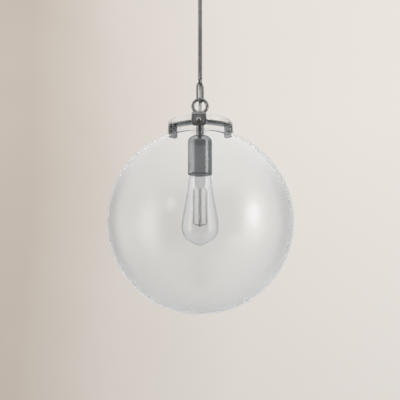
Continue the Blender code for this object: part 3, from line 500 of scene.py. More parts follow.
def build_canopy():
    z0, z1 = low("canopy"), high("canopy")
    radius, flat, wall = 63.5 * MM, 16.0 * MM, 1.2 * MM
    hole = 4.95 * MM
    outer, inner = [], []
    for i in range(25):
        angle = math.radians(90.0 * i / 24)
        across, up = math.sin(angle), 1 - math.cos(angle)
        outer.append((flat + (radius - flat) * across, z0 + (z1 - z0) * up))
        inner.append((flat + (radius - flat - wall) * across, z0 + wall + (z1 - z0 - wall) * up))
    bead = [(radius, z1), (radius - wall, z1)]
    profile = [(hole, z0)] + outer[:-1] + soften([outer[-2], *bead, inner[-2]], 0.4 * MM, False)[1:-1] + inner[:-1][::-1] + [(hole, z0 + wall)]
    canopy = turn("canopy_shell", profile, 160)
    for x in (-31.0 * MM, 31.0 * MM):
        drill(canopy, 2.3 * MM, z0, z1, Matrix.Translation((x, 0, 0)))
    dress(canopy, "ceiling_mount", "nickel", "canopy")

    for side, x in (("left", -31.0 * MM), ("right", 31.0 * MM)):
        node = "cap_nut_" + side
        c0, c1 = low(node), high(node)
        cap = 5.0 * MM
        dome = [(cap * r, c1 - 2.0 * MM - (c1 - 2.0 * MM - c0) * d) for r, d in arc(0, 0, 1, 0, 90, 14)]
        dome[-1] = (0.0, c0)
        profile = [(2.05 * MM, c1 - 3.1 * MM), (2.05 * MM, c1), (cap - 0.4 * MM, c1), (cap, c1 - 0.4 * MM)] + dome + [(0, c1 - 3.1 * MM)]

        def knurl(r, z, angle, top=c1, base=cap):
            if r > base - 0.1 * MM and top - 1.8 * MM < z:
                return r - 0.14 * MM * (0.5 + 0.5 * math.cos(40 * angle)), z
            return r, z

        profile.insert(3, (cap, c1 - 0.6 * MM))
        profile.insert(4 + 1, (cap, c1 - 1.7 * MM))
        dress(turn("cap_" + side, profile, 160, Matrix.Translation((x, 0, 0)), knurl), "ceiling_mount", "nickel", node)
        set_screw("canopy_stud_" + side, "canopy_screw_" + side, "ceiling_mount", x)
        pan_screw("box_screw_pan_" + side, "box_screw_" + side, "ceiling_mount", "zinc_steel", math.copysign(44.45 * MM, x))
    pan_screw("ground_screw_pan", "ground_screw", "ceiling_mount", "ground_screw", 16.0 * MM)

    half, width = 52.0 * MM, 9.0 * MM
    outline = arc(half - width, 0, width, -90, 90, 24) + arc(width - half, 0, width, 90, 270, 24)
    strap = slab("crossbar", outline, low("mounting_strap"), high("mounting_strap"))
    drill(strap, 5.2 * MM, -2.0 * MM, 0)
    drill(strap, 2.05 * MM, -2.0 * MM, 0, Matrix.Translation((16.0 * MM, 0, 0)))
    for sign in (-1, 1):
        near, far = 39.95 * MM, 45.95 * MM
        slot = arc(far, 0, 2.4 * MM, -90, 90, 12) + arc(near, 0, 2.4 * MM, 90, 270, 12)
        boolean(strap, slab("slot", slot, -5 * MM, 3 * MM, facing(0 if sign > 0 else 180)))
        drill(strap, 2.05 * MM, -2.0 * MM, 0, Matrix.Translation((sign * 31.0 * MM, 0, 0)))
    ease_edges(strap, 0.25 * MM)
    dress(strap, "ceiling_mount", "zinc_steel", "mounting_strap")

    nipple("canopy_thread", "canopy_nipple", "ceiling_mount")
    locknut("canopy_nut", "canopy_locknut", "ceiling_mount")

    for node in ("connector_live", "connector_neutral"):
        lo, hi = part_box(node)
        length, wide = hi.y - lo.y, 5.0 * MM
        spot = Matrix.Translation(((lo.x + hi.x) / 2, hi.y, (lo.z + hi.z) / 2)) @ Matrix.Rotation(math.pi / 2, 4, "X")
        skirt = soften([(0, 0), (wide, 0, 0.4 * MM), (wide, length * 0.17, 0.6 * MM)], 0.4 * MM, False)
        rows = [(wide - 0.35 * MM - 1.2 * MM * i / 12, length * (0.2 + 0.66 * i / 12)) for i in range(13)]
        crown = soften([rows[-1], (wide * 0.6, length * 0.96, 0.8 * MM), (0, length)], 0.8 * MM, False)[1:]

        def ribs(r, z, angle, span=length):
            if span * 0.19 < z < span * 0.87:
                return r + 0.3 * MM * max(0.0, math.cos(14 * angle)) - 0.1 * MM, z
            return r, z

        cap = turn("twist_" + node.split("_")[1], skirt + rows + crown, 112, spot, ribs)
        dress(cap, "ceiling_mount", "connector", node)


# ---------------------------------------------------------------- chain and rod

ROD_MID = (low("downrod") + high("downrod")) / 2
ROD_HALF = (high("downrod") - low("downrod")) / 2
EYE_D = ROD_HALF + 4.2 * MM
RING_D = ROD_HALF + 45.2 * MM


def chain_z(side, distance):
    return ROD_MID + side * distance


def build_ring(name, node, side, body):
    """Large cast loop with its bored shank."""
    z_ring = chain_z(side, RING_D)
    loop = [(x, 0.0, z_ring + z) for x, z in arc(0, 0, 11.9 * MM, 0, 360 - 360 / 96, 95)]
    end = low(node) if side < 0 else high(node)
    inward = 1 if side < 0 else -1
    crown = z_ring + side * 10.3 * MM
    neck = [
        (0, end),
        (7.0 * MM, end, 0.3 * MM),
        (7.0 * MM, end + inward * 6.6 * MM, 2.2 * MM),
        (5.4 * MM, end + inward * 9.4 * MM, 1.6 * MM),
        (4.2 * MM, crown, 1.2 * MM),
        (0, crown + inward * 0.3 * MM),
    ]
    shank = turn("shank", soften(neck, 0.3 * MM, False, 6), 64)
    ring = fuse(name, [tube("loop", loop, 2.6 * MM, 28, True), shank], 0.32 * MM, 7)
    drill(ring, 3.1 * MM, min(crown, end) - 4 * MM, max(crown, end) + 4 * MM)
    grip = sorted([end + inward * 4.7 * MM, end - inward * 4 * MM])
    bore = turn("bore", [(0, grip[0]), (4.95 * MM, grip[0]), (4.95 * MM, grip[1]), (0, grip[1])], 48)
    boolean(ring, bore)
    settle(ring, 50.0)
    dress(ring, body, "nickel", node)


def build_link(name, node, body):
    """Long oval link; the real link is welded at one side, where only two extra points are added here."""
    z0, z1 = low(node) + 1.6 * MM, high(node) - 1.6 * MM
    half_w = 7.4 * MM
    middle, straight = (z0 + z1) / 2, (z1 - z0) / 2 - half_w
    outline = arc(0, straight, half_w, 0, 180, 36) + arc(0, -straight, half_w, 180, 360, 36)
    outline.insert(37, (-half_w, 0.3 * straight))
    outline.insert(38, (-half_w, -0.3 * straight))
    place = Matrix.Translation((0, 0, middle)) @ facing(LINK_AZIMUTH)
    link = tube(name, [(x, 0, z) for x, z in outline], 1.6 * MM, 24, True, place)
    dress(link, body, "nickel", node)


def build_eye(name, node, side):
    z_eye = chain_z(side, EYE_D)
    loop = [(0.0, y, z_eye + z) for y, z in arc(0, 0, 4.6 * MM, 0, 360 - 360 / 72, 71)]
    inner_end = chain_z(side, ROD_HALF - 6.2 * MM)
    root = chain_z(side, EYE_D - 4.6 * MM)
    z0, z1 = min(inner_end, root), max(inner_end, root)
    plug = turn("plug", soften([(0, z0), (2.55 * MM, z0), (2.55 * MM, z1), (0, z1)], 0.4 * MM, False), 40)
    eye = fuse(name, [tube("loop", loop, 1.5 * MM, 20, True), plug], 0.2 * MM, 4)
    eye.data.transform(facing(EYE_AZIMUTH))
    dress(eye, "rod", "nickel", node)


def build_rod():
    z0, z1 = low("downrod"), high("downrod")
    outer, bore = 3.5 * MM, 2.7 * MM
    profile = soften([(outer, z0), (outer, z1), (bore, z1), (bore, z0)], 0.25 * MM)
    rod = turn("rod_tube", profile, 72)
    past = 7 * MM
    notch = [(-1.65 * MM, -past), (1.65 * MM, -past), (1.65 * MM, past), (-1.65 * MM, past)]
    for side in (1, -1):
        cuts = sorted([chain_z(side, ROD_HALF - 2.2 * MM), chain_z(side, ROD_HALF + past)])
        boolean(rod, slab("notch", notch, *cuts, facing(EYE_AZIMUTH)))
        cuts = sorted([chain_z(side, ROD_HALF - 7.2 * MM), chain_z(side, ROD_HALF - 27.0 * MM)])
        along = (cuts[0] + cuts[1]) / 2
        half = (cuts[1] - cuts[0]) / 2
        window = arc(0, half - 2.6 * MM, 2.6 * MM, 0, 180, 16) + arc(0, 2.6 * MM - half, 2.6 * MM, 180, 360, 16)
        turn_back = Matrix.Translation((0, 0, along)) @ Matrix.Rotation(math.pi / 2, 4, "X")
        boolean(rod, slab("window", window, -past, -0.4 * MM, turn_back))
    dress(rod, "rod", "nickel", "downrod")


# ---------------------------------------------------------------- wires


def rod_route(x):
    window = ROD_HALF - 27.0 * MM
    return [
        (x, 0.0, 0.0),
        (x, 0.0, window - 4.0 * MM),
        (x, 0.3 * MM, window),
        (x, 1.3 * MM, window + 4.5 * MM),
        (x, 4.0 * MM, ROD_HALF - 14.5 * MM),
        (x, 6.3 * MM, ROD_HALF - 7.2 * MM),
        (x, 6.64 * MM, ROD_HALF - 5.85 * MM),
    ]


def jumper_route(x, lift):
    return [
        (x, 6.64 * MM, ROD_HALF - 5.85 * MM),
        (x, 6.9 * MM, ROD_HALF - 4.8 * MM),
        (x, 7.9 * MM, ROD_HALF + 2.0 * MM),
        (x, 7.9 * MM, EYE_D + 4.0 * MM),
        (x, 7.4 * MM, ROD_HALF + 13.2 * MM),
        (x, 5.6 * MM + lift, ROD_HALF + 25.3 * MM),
        (x, 5.0 * MM + lift, ROD_HALF + 32.3 * MM),
        (x, 4.9 * MM + lift, ROD_HALF + 38.5 * MM),
        (x, 2.2 * MM + lift, RING_D - 1.5 * MM),
        (x, 0.0, RING_D + 4.0 * MM),
        (x, 0.0, RING_D + 6.0 * MM),
    ]


def route(points, side):
    return [(x, y, chain_z(side, d)) for x, y, d in points]


def build_wires(kind, slot, x, lift, radius, sides, canopy_tail, stem_tail):
    """One conductor from the ceiling box to the socket, cut where the bodies part."""
    half = rod_route(x)
    whole = route(half[::-1], 1) + route(half[1:], -1)
    dress(tube("rod_run_" + kind, through(whole, 10), radius, sides), "rod", slot, "rod_" + kind)
    middle = ROD_HALF + 21.0 * MM
    for side, label, link, outer in ((1, "upper", "upper_link", "ceiling_mount"), (-1, "lower", "lower_link", "fixture")):
        line = through(route(jumper_route(x, lift), side), 10)
        split = min(range(len(line)), key=lambda i: abs((line[i].z - ROD_MID) * side - middle))
        node = label + "_jumper_" + kind
        halves = (
            (line[: split + 1], ("rod", link), (ROD_HALF - 4 * MM, middle), "_near"),
            (line[split:], (link, outer), (middle, RING_D + 2 * MM), "_far"),
        )
        for part, bodies, reach, end in halves:
            piece = tube(node + end, part, radius, sides)
            piece.data.materials.append(LOOKS[slot])
            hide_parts(node)
            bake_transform(piece)
    for side, label, tail, body in ((1, "canopy", canopy_tail, "ceiling_mount"), (-1, "stem", stem_tail, "fixture")):
        start = route([(x, 0.0, RING_D + 6.0 * MM), (x, 0.0, RING_D + 23.2 * MM)], side)
        dress(tube(label + "_run_" + kind, through(start + tail, 10), radius, sides), body, slot, label + "_" + kind)


def build_all_wires():
    canopy = low("canopy")
    stem = low("stem_tube")
    cup = high("socket_cup")
    socket = high("socket_body")
    bead = canopy + 13.0 * MM
    spread_x = 0.4 * MM
    x = -1.05 * MM
    cord_up = [
        (x - spread_x, 0.0, canopy + 8.5 * MM),
        (x - 2.0 * MM, -2.0 * MM, canopy + 11.6 * MM),
        (-8.0 * MM, -5.5 * MM, bead),
        (-20.5 * MM, -4.5 * MM, bead),
        (-24.0 * MM, -8.5 * MM, bead),
        (-24.0 * MM, -10.0 * MM, bead),
    ]
    cord_down = [
        (x, 0.0, stem),
        (x - spread_x, 0.0, cup - 7.0 * MM),
        (x / 2, 0.0, socket + 1.0 * MM),
        (x / 2, 0.0, socket - 3.0 * MM),
    ]
    build_wires("cord", "cord_jacket", x, 0.0, 1.5 * MM, 20, cord_up, cord_down)
    x = 1.6 * MM
    ground_up = [
        (x + spread_x, 0.0, canopy + 8.5 * MM),
        (x + 2.0 * MM, -2.0 * MM, canopy + 12.0 * MM),
        (9.0 * MM, -7.0 * MM, canopy + 13.5 * MM),
        (16.0 * MM, -6.5 * MM, canopy + 14.5 * MM),
        (16.0 * MM, -4.8 * MM, canopy + 16.0 * MM),
    ]
    ground_down = [
        (x, 0.0, stem),
        (x + spread_x, 0.0, cup - 7.0 * MM),
        (6.0 * MM, 0.0, cup - 10.2 * MM),
        (10.5 * MM, 0.0, cup - 9.0 * MM),
    ]
    build_wires("ground", "ground_wire", x, 1.6 * MM, 0.9 * MM, 14, ground_up, ground_down)


# ---------------------------------------------------------------- spider


def build_spider():
    z0, z1 = low("hub"), high("hub")
    hub = slab("hub_plate", arc(0, 0, 13.0 * MM / math.cos(math.pi / 6), 0, 300, 5), z0, z1)
    drill(hub, 4.95 * MM, z0, z1)
    ease_edges(hub, 0.5 * MM, 3)
    dress(hub, "fixture", "nickel", "hub")

    for label, azimuth in ARM_AZIMUTHS.items():
        foot_z = low("arm_" + label)
        inner, outer, thick = 53.0 * MM, 56.0 * MM, 3.0 * MM
        bend = 1.5 * MM
        bx, bz = outer - bend - thick, z1 - bend - thick
        start = 13.3 * MM
        edge = [(start, z0)] + arc(bx, bz, bend, 90, 0, 8)
        edge += [(inner, foot_z - 4 * MM), (outer, foot_z - 4 * MM)] + arc(bx, bz, bend + thick, 0, 90, 12) + [(start, z1)]
        upright = facing(azimuth) @ Matrix.Rotation(math.pi / 2, 4, "X")
        arm = slab("arm_strap_" + label, edge, -14 * MM, 14 * MM, upright)
        top, foot, rounding = 11.0 * MM, 12.2 * MM, 5.5 * MM
        above = z1 + thick
        face = arc(rounding - foot, foot_z + rounding, rounding, 180, 270, 14)
        face += arc(foot - rounding, foot_z + rounding, rounding, 270, 360, 14) + [(top, above), (-top, above)]
        across = facing(azimuth + 90) @ Matrix.Rotation(math.pi / 2, 4, "X")
        boolean(arm, slab("trim", face, 0.0, 2 * outer, across), "INTERSECT")
        screw_z = (low("thumbscrew_" + label) + high("thumbscrew_" + label)) / 2
        drill(arm, 2.25 * MM, inner, outer, outward(azimuth, screw_z))
        ease_edges(arm, 0.45 * MM, 3)
        dress(arm, "fixture", "nickel", "arm_" + label)

        place = outward(azimuth, screw_z)
        seat = outer + 0.3 * MM
        hole, rim = 2.25 * MM, 7.25 * MM
        boss = soften([(hole, seat), (rim, seat, 0.15 * MM), (rim, seat + 1.5 * MM, 0.8 * MM), (hole, seat + 1.5 * MM, 0.15 * MM)], 0.1 * MM, True, 6)
        dress(turn("boss_disc_" + label, boss, 96, place), "fixture", "nickel", "boss_" + label)

        head = seat + 1.8 * MM
        shaft, wide = 2.0 * MM, 4.5 * MM
        tip = 52.0 * MM
        rows, shape = threaded(shaft, 0.2 * MM, 0.8 * MM, tip + 0.2 * MM, head - 0.6 * MM)
        dome = [(wide * r, head + 1.6 * MM + 2.9 * MM * s) for r, s in arc(0, 0, 1, 0, 90, 18)]
        dome[-1] = (0.0, head + 4.5 * MM)
        profile = [(0, tip), (shaft - 0.3 * MM, tip)] + rows
        profile += [(shaft - 0.1 * MM, head), (wide - 0.5 * MM, head), (wide, head + 0.5 * MM)] + dome
        body = "thumbscrew_" + label
        dress(turn("screw_knob_" + label, profile, 64, place, shape), body, "nickel", body)

        pad = soften([(0, 50.3 * MM), (1.9 * MM, 50.3 * MM), (1.9 * MM, 51.7 * MM), (0, 51.7 * MM)], 0.35 * MM, False)
        dress(turn("pad_" + label, pad, 40, place), body, "soft_tip", "soft_tip_" + label)


# ---------------------------------------------------------------- globe

COAT_ZONE = 90.0 * MM
COAT_STOPS = [(0.0, 1.0), (0.45, 0.5), (0.70, 0.10), (0.90, 0.10), (0.935, 0.8), (1.0, 0.8)]


def fade_coat(material, rim):
    """The coat is thin on the neck and shoulder, and full on the body and on the polished lip."""
    nodes, links = material.node_tree.nodes, material.node_tree.links
    place = nodes.new("ShaderNodeTexCoord")
    split = nodes.new("ShaderNodeSeparateXYZ")
    links.new(place.outputs["Object"], split.inputs["Vector"])
    height = map_range(nodes, links, split.outputs["Z"], rim - COAT_ZONE, rim, 0.0, 1.0)
    weight = ramp(nodes, links, height, [(at, (w, w, w)) for at, w in COAT_STOPS])
    links.new(weight, nodes["Principled BSDF"].inputs["Coat Weight"])


def build_globe():
    lo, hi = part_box("globe_glass")
    outer_r = (hi.x - lo.x) / 2
    rim = hi.z
    centre = lo.z + outer_r
    wall, neck, neck_wall = 4.0 * MM, 50.0 * MM, 4.5 * MM
    lip, lip_h, fillet = 52.0 * MM, 5.0 * MM, 4.0 * MM
    meet = math.asin((neck + fillet) / (outer_r + fillet))
    fillet_z = centre + (outer_r + fillet) * math.cos(meet)
    meet = math.degrees(meet)
    outside = arc(0, centre, outer_r, -90, 90 - meet, 110)
    outside += arc(neck + fillet, fillet_z, fillet, 270 - meet, 180, 10)[1:]
    ledge = rim - lip_h
    lip_line = [(neck, ledge - 2.0 * MM, 0.8 * MM), (lip, ledge, 1.2 * MM), (lip, rim, 2.2 * MM), (neck - neck_wall, rim, 2.0 * MM)]
    inner_r = outer_r - wall
    mouth_r = neck - neck_wall
    bend = 3.0 * MM
    inner_meet = math.asin((mouth_r + bend) / (inner_r + bend))
    bend_z = centre + (inner_r + bend) * math.cos(inner_meet)
    inner_meet = math.degrees(inner_meet)
    inside = arc(mouth_r + bend, bend_z, bend, 180, 270 - inner_meet, 8)
    inside += arc(0, centre, inner_r, 90 - inner_meet, -90, 110)[1:]
    lip_soft = soften([outside[-1], *lip_line, inside[0]], 0.5 * MM, False, 6)[1:-1]
    profile = outside + lip_soft + inside
    profile[0] = (0.0, centre - outer_r)
    profile[-1] = (0.0, centre - inner_r)
    dress(turn("globe", profile, 192, sharp=60.0), "fixture", "globe_glass", "globe_glass")
    fade_coat(LOOKS["globe_glass"], rim)


# ---------------------------------------------------------------- stem, cup and socket


def build_cup():
    z0, z1 = low("stem_tube"), high("stem_tube")
    tube_line = soften([(6.0 * MM, z0), (6.0 * MM, z1), (4.95 * MM, z1), (4.95 * MM, z0)], 0.35 * MM)
    dress(turn("stem", tube_line, 96), "fixture", "nickel", "stem_tube")
    nipple("stem_thread", "stem_nipple", "fixture")
    locknut("cup_nut", "cup_locknut", "fixture")

    z0, z1 = low("socket_cup"), high("socket_cup")
    radius, wall, flat, dome_h = 19.9 * MM, 1.2 * MM, 8.0 * MM, 10.7 * MM
    side = z1 - dome_h
    outer = [(flat + (radius - flat) * c, side + dome_h * s) for c, s in arc(0, 0, 1, 90, 0, 22)]
    inner_r = radius - wall
    inner = [(flat + (inner_r - flat) * c, side + (dome_h - wall) * s) for c, s in arc(0, 0, 1, 0, 90, 22)]
    rim = soften([(radius, side - MM), (radius, z0, 0.7 * MM), (inner_r, z0, 0.4 * MM), (inner_r, side - MM)], 0.4 * MM, False)[1:-1]
    profile = [(4.95 * MM, z1)] + outer + rim + inner + [(4.95 * MM, z1 - wall)]
    dress(turn("cup", profile, 128), "fixture", "nickel", "socket_cup")

    z0, z1 = low("socket_body"), high("socket_body")
    hollow = z0 + 28.0 * MM
    body = [
        (14.8 * MM, z0, 0.4 * MM),
        (16.5 * MM, z0, 0.8 * MM),
        (16.5 * MM, z0 + 6 * MM, 0.3 * MM),
        (16.0 * MM, z0 + 7 * MM, 0.3 * MM),
        (16.0 * MM, z1 - 9 * MM, 1.0 * MM),
        (12.5 * MM, z1, 1.0 * MM),
        (3.0 * MM, z1, 0.4 * MM),
        (3.0 * MM, z1 - 6 * MM, 0.2 * MM),
        (0, z1 - 6 * MM),
        (0, hollow),
        (14.8 * MM, hollow, 0.5 * MM),
    ]
    dress(turn("socket", soften(body, 0.4 * MM), 96), "fixture", "socket_body", "socket_body")

    z0, z1 = low("socket_shell"), high("socket_shell")
    radius, wall, pitch = 13.9 * MM, 0.4 * MM, 3.63 * MM
    count = 60
    rows = [(radius, z0 + (z1 - z0) * i / count) for i in range(count + 1)]
    back = [(radius - wall, z) for _, z in rows[::-1]]

    def rolled(r, z, angle):
        fade = min(1.0, (z - z0) / pitch, max(z1 - 2 * MM - z, 0.0) / pitch)
        if r < radius - 2 * wall:
            return r, z
        return r - 0.25 * MM * fade * (0.5 - 0.5 * math.cos(2 * math.pi * z / pitch - angle)), z

    profile = rows + [(radius * 0.6, z1), (radius * 0.6, z1 - wall)] + back[2:]
    dress(turn("socket_sleeve", profile, 72, shape=rolled), "fixture", "brass_shell", "socket_shell")


# ---------------------------------------------------------------- bulb

BULB_OUTLINE = [
    (12.6, 12.2),
    (14.6, 6.0),
    (16.9, 0.5),
    (18.6, -8.0),
    (21.2, -28.0),
    (23.6, -44.0),
    (26.8, -60.0),
    (29.3, -74.0),
    (30.15, -85.0),
    (29.9, -92.5),
    (27.6, -100.0),
    (23.0, -106.5),
    (15.6, -111.8),
    (7.0, -115.6),
    (0.0, -117.5),
]


def build_bulb():
    cup = low("socket_cup")
    mouth = high("bulb_glass")
    line = [(p.x * MM, cup + p.y * MM) for p in through(BULB_OUTLINE, 8)]
    line[0] = (12.6 * MM, mouth)
    line[-1] = (0.0, low("bulb_glass"))
    wall = 0.9 * MM
    inner = []
    for i, (r, z) in enumerate(line):
        ahead, behind = line[min(i + 1, len(line) - 1)], line[max(i - 1, 0)]
        run = Vector((ahead[0] - behind[0], ahead[1] - behind[1])).normalized()
        inner.append((max(r + run.y * wall, 0.0), z - run.x * wall))
    inner[0] = (line[0][0] - wall, mouth)
    inner[-1] = (0.0, line[-1][1] + wall)
    inner = [p for i, p in enumerate(inner) if i in (0, len(inner) - 1) or p[0] > 0.4 * MM]
    dress(turn("bulb_envelope", line + inner[::-1], 128, sharp=60.0), "bulb", "bulb_glass", "bulb_glass")

    z0, z1 = low("bulb_base"), high("bulb_base")
    radius, depth, pitch = 13.05 * MM, 0.8 * MM, 3.63 * MM
    count = 80
    top = z1 - 3 * MM
    rows = [(radius, z0 + (top - z0) * i / count) for i in range(count + 1)]
    inside = [(radius - 1.4 * MM, z0 + (top - z0) * i / 8) for i in range(9)]

    def rolled(r, z, angle):
        if r < radius - 0.5 * MM:
            return r, z
        fade = max(0.0, min(1.0, (z - z0 - MM) / pitch, (top - z) / pitch))
        return r - depth * fade * (0.5 - 0.5 * math.cos(2 * math.pi * z / pitch - angle)), z

    crown = [(radius * 0.97, top + 0.8 * MM), (radius * 0.72, z1 - 0.15 * MM), (radius * 0.7, z1), (3.6 * MM, z1)]
    crown += [(3.6 * MM, z1 - 0.6 * MM), (radius * 0.69, z1 - 0.7 * MM)]
    dress(turn("base_shell", rows + crown + inside[::-1], 96, shape=rolled), "bulb", "brass_shell", "bulb_base")
    z0, z1 = low("bulb_contact"), high("bulb_contact")
    tip = soften([(0, z0), (3.2 * MM, z0), (3.2 * MM, z1 - 1.4 * MM, 0.6 * MM), (2.0 * MM, z1 - 0.2 * MM, 0.8 * MM), (0, z1)], 0.3 * MM, False)
    dress(turn("base_contact", tip, 48), "bulb", "zinc_steel", "bulb_contact")

    z0, z1 = low("bulb_mount"), high("bulb_mount")
    radius, wall = 8.9 * MM, 1.0 * MM
    flare = [(radius, z1), (radius, z0 + 12 * MM), (radius * 0.86, z0 + 5 * MM, 2 * MM), (radius * 0.42, z0 + 0.6 * MM, 1.5 * MM), (0, z0)]
    back = [(0, z0 + 2.0 * MM), (radius * 0.3, z0 + 2.4 * MM, 1.0 * MM), (radius * 0.7, z0 + 6 * MM, 1.5 * MM), (radius - wall, z0 + 12 * MM), (radius - wall, z1)]
    outline = soften(flare, 2 * MM, False, 8) + soften(back, 2 * MM, False, 8)
    dress(turn("bulb_flare", outline, 72, sharp=60.0), "bulb", "bulb_inner_glass", "bulb_mount")

    z0, z1 = low("filament_post"), high("filament_post")
    disc = z0 + 4.0 * MM
    post = [(0, z1), (2.4 * MM, z1, 0.4 * MM), (2.4 * MM, disc, 0.5 * MM), (8.2 * MM, disc, 0.5 * MM), (8.2 * MM, disc - 1.2 * MM, 0.5 * MM), (2.2 * MM, disc - 1.2 * MM, 0.5 * MM), (1.9 * MM, z0, 1.0 * MM), (0, z0)]
    rod = dress(turn("bulb_post", soften(post, 0.4 * MM, False, 6), 48), "bulb", "bulb_inner_glass", "filament_post")
    rod.data.materials[0] = glass("rod_glass", (0.62, 0.62, 0.63), (0.55, 0.55, 0.56), 1.02, 60.0, 0.00001, 0.05)

    for index in range(4):
        node = "filament_%d" % (index + 1)
        azimuth = 5.0 + 90.0 * index
        z0, z1 = low(node), high(node)
        stick = soften([(0, z0), (0.5 * MM, z0, 0.1 * MM), (1.5 * MM, z0 + 2 * MM, 0.8 * MM), (1.5 * MM, z1 - 2 * MM, 0.8 * MM), (0.5 * MM, z1, 0.1 * MM), (0, z1)], 0.3 * MM, False)
        spot = facing(azimuth) @ Matrix.Translation((10.4 * MM, 0, 0))
        dress(turn("strip_%d" % (index + 1), stick, 28, spot), "bulb", "filament", node)
        hook = [(9.9 * MM, 0, z0 + 0.4 * MM), (9.3 * MM, 0, z0 - 0.1 * MM), (7.9 * MM, 0, disc - 0.5 * MM)]
        lead = [(10.3 * MM, 0, z1 - 0.5 * MM), (9.8 * MM, 0, z1 + 1.2 * MM), (6.0 * MM, 0, z1 + 1.6 * MM), (3.0 * MM, 0, z1 + 1.4 * MM)]
        dress(tube("hook_%d" % (index + 1), through(hook, 6), 0.25 * MM, 8, place=facing(azimuth)), "bulb", "zinc_steel")
        dress(tube("lead_%d" % (index + 1), through(lead, 6), 0.25 * MM, 8, place=facing(azimuth)), "bulb", "zinc_steel")


# ---------------------------------------------------------------- stage, light and camera


# Painted light on the wall, from darker at the left to brighter at the right.
WALL_LIGHT_STOPS = (
    (0.0, (0.575, 0.512, 0.448)),
    (0.24, (0.715, 0.664, 0.615)),
    (0.5, (0.790, 0.745, 0.700)),
    (1.0, (0.825, 0.785, 0.740)),
)


def build_stage():
    """Seamless floor and wall of pale plaster, seen by the camera and through the glass. Its glow carries painted
    light: darker at the left, brighter at the right, and a little fainter low down.
    """
    floor = -1.7
    reach, cove = 5.0, 1.4
    bm = bmesh.new()
    line = [(0.0, floor), (reach - cove, floor)] + arc(reach - cove, floor + cove, cove, -90, 0, 16)[1:] + [(reach, 5.0)]
    rows = []
    for r, z in line:
        if r == 0.0:
            rows.append([bm.verts.new((0, 0, z))] * 96)
        else:
            rows.append([bm.verts.new((r * math.cos(2 * math.pi * i / 96), r * math.sin(2 * math.pi * i / 96), z)) for i in range(96)])
    for here, there in zip(rows, rows[1:]):
        for i in range(96):
            j = (i + 1) % 96
            corners = list(dict.fromkeys((here[i], here[j], there[j], there[i])))
            bm.faces.new(corners)
    stage = to_object("studio", bm)
    material, nodes, links = new_material("plaster")
    nodes.remove(nodes["Principled BSDF"])
    glow = nodes.new("ShaderNodeEmission")
    coords = nodes.new("ShaderNodeTexCoord")
    split = nodes.new("ShaderNodeSeparateXYZ")
    links.new(coords.outputs["Object"], split.inputs["Vector"])
    # Painted light across the wall: darker at the left, brighter at the right, with a faint random mottle.
    across = map_range(nodes, links, split.outputs["X"], -1.35, 1.35, 0.0, 1.0)
    mottle = map_range(nodes, links, noise(nodes, links, 1.1, 4.0), 0.3, 0.7, -0.03, 0.03)
    place = nodes.new("ShaderNodeMath")
    links.new(across, place.inputs[0])
    links.new(mottle, place.inputs[1])
    links.new(ramp(nodes, links, place.outputs["Value"], WALL_LIGHT_STOPS), glow.inputs["Color"])
    # Painted light: the glow is a little fainter low down.
    light_falloff = map_range(nodes, links, split.outputs["Z"], -1.0, 1.0, 0.9, 1.0)
    links.new(light_falloff, glow.inputs["Strength"])
    seen = nodes.new("ShaderNodeLightPath")
    bounced = nodes.new("ShaderNodeMath")
    bounced.use_clamp = True
    links.new(seen.outputs["Glossy Depth"], bounced.inputs[0])
    links.new(seen.outputs["Diffuse Depth"], bounced.inputs[1])
    clear = nodes.new("ShaderNodeBsdfTransparent")
    either = nodes.new("ShaderNodeMixShader")
    links.new(bounced.outputs["Value"], either.inputs["Fac"])
    links.new(glow.outputs["Emission"], either.inputs[1])
    links.new(clear.outputs["BSDF"], either.inputs[2])
    links.new(either.outputs["Shader"], nodes["Material Output"].inputs["Surface"])
    stage.data.materials.append(material)
    stage.visible_glossy = False
    stage.visible_diffuse = False
    stage.visible_shadow = False


SKY_STOPS = ((0.0, (0.12, 0.12, 0.12)), (0.4, (0.22, 0.22, 0.22)), (0.64, (0.27, 0.27, 0.27)), (0.82, (1.10, 1.11, 1.13)))
BELT_STOPS = ((0.2, (0.0, 0.0, 0.0)), (0.4, (1.0, 1.0, 1.0)), (0.62, (1.0, 1.0, 1.0)), (0.85, (0.0, 0.0, 0.0)))
BAND_STOPS = ((-180.0, 0.42), (-158.0, 0.42), (-135.0, 0.0), (-112.0, 0.95), (-62.0, 0.95), (-44.0, 0.0), (52.0, 0.0), (62.0, 1.35), (80.0, 1.35), (92.0, 0.0),
              (135.0, 0.0), (158.0, 0.42), (180.0, 0.42))


def soft_box(name, azimuth, elevation, distance, width, height, power, gloss=True):
    """Area light aimed at the globe. Azimuth 0 is at the camera's side, 90 to the right."""
    centre = Vector((0, 0, (low("globe_glass") + high("canopy")) / 2 - 0.16))
    a, e = math.radians(azimuth), math.radians(elevation)
    back = Vector((math.sin(a) * math.cos(e), -math.cos(a) * math.cos(e), math.sin(e)))
    data = bpy.data.lights.new(name, "AREA")
    data.shape = "ELLIPSE"
    data.size, data.size_y = width, height
    data.energy = power
    light = bpy.data.objects.new(name, data)
    light.location = centre + back * distance
    light.rotation_mode = "QUATERNION"
    light.rotation_quaternion = (-back).to_track_quat("-Z", "Y")
    light.visible_camera = False
    light.visible_transmission = False
    light.visible_glossy = gloss
    bpy.context.scene.collection.objects.link(light)


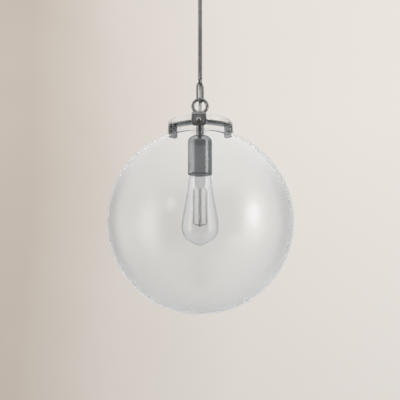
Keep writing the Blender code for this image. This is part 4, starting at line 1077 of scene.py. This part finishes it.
def build_light():
    world = bpy.data.worlds.new("studio_air")
    bpy.context.scene.world = world
    world.use_nodes = True
    background = world.node_tree.nodes["Background"]
    tree = world.node_tree
    nodes, links = tree.nodes, tree.links
    coords = nodes.new("ShaderNodeTexCoord")
    split = nodes.new("ShaderNodeSeparateXYZ")
    links.new(coords.outputs["Generated"], split.inputs["Vector"])
    sky = ramp(nodes, links, map_range(nodes, links, split.outputs["Z"], -1.0, 1.0, 0.0, 1.0), SKY_STOPS)
    toward = nodes.new("ShaderNodeMath")
    toward.operation = "MULTIPLY"
    toward.inputs[1].default_value = -1.0
    links.new(split.outputs["Y"], toward.inputs[0])
    azimuth = nodes.new("ShaderNodeMath")
    azimuth.operation = "ARCTAN2"
    links.new(split.outputs["X"], azimuth.inputs[0])
    links.new(toward.outputs["Value"], azimuth.inputs[1])
    around = map_range(nodes, links, azimuth.outputs["Value"], -math.pi, math.pi, 0.0, 1.0)
    bands = ramp(nodes, links, around, [((a + 180.0) / 360.0, (v, v, v)) for a, v in BAND_STOPS])
    belt = ramp(nodes, links, map_range(nodes, links, split.outputs["Z"], -1.0, 1.0, 0.0, 1.0), BELT_STOPS)
    glow = nodes.new("ShaderNodeMixRGB")
    glow.blend_type = "MULTIPLY"
    glow.inputs["Fac"].default_value = 1.0
    links.new(bands, glow.inputs["Color1"])
    links.new(belt, glow.inputs["Color2"])
    total = nodes.new("ShaderNodeMixRGB")
    total.blend_type = "ADD"
    total.inputs["Fac"].default_value = 1.0
    links.new(sky, total.inputs["Color1"])
    links.new(glow.outputs["Color"], total.inputs["Color2"])
    links.new(total.outputs["Color"], background.inputs["Color"])
    background.inputs["Strength"].default_value = 1.0
    soft_box("left_box", -84.0, 8.0, 1.7, 1.0, 1.5, 6.0, False)
    soft_box("right_box", 66.0, 4.0, 1.9, 0.50, 0.8, 3.4)
    soft_box("low_box", 46.0, -28.0, 2.0, 0.36, 0.36, 1.2)
    soft_box("front_box", -32.0, 12.0, 1.9, 0.3, 0.3, 1.4)
    soft_box("top_box", 20.0, 72.0, 2.2, 1.2, 1.2, 14.0, False)


def build_camera():
    data = bpy.data.cameras.new("camera")
    data.lens = 86.14
    data.sensor_width = 36.0
    data.dof.use_dof = False
    camera = bpy.data.objects.new("camera", data)
    yaw, pitch = math.radians(2.0), math.radians(9.76)
    ahead = Vector((-math.sin(yaw) * math.cos(pitch), math.cos(yaw) * math.cos(pitch), math.sin(pitch)))
    camera.location = (0.0538, -1.5411, -0.7123)
    camera.rotation_mode = "QUATERNION"
    camera.rotation_quaternion = ahead.to_track_quat("-Z", "Y")
    bpy.context.scene.collection.objects.link(camera)
    bpy.context.scene.camera = camera


build_camera()
bpy.context.scene.view_settings.view_transform = "Standard"
build_stage()
build_light()
build_canopy()
build_ring("loop_casting", "canopy_loop", 1, "ceiling_mount")
build_ring("ring_casting", "hanging_ring", -1, "fixture")
build_link("oval_link_upper", "upper_link", "upper_link")
build_link("oval_link_lower", "lower_link", "lower_link")
build_eye("eye_upper", "upper_eye", 1)
build_eye("eye_lower", "lower_eye", -1)
build_rod()
build_all_wires()
build_spider()
build_globe()
build_cup()
build_bulb()
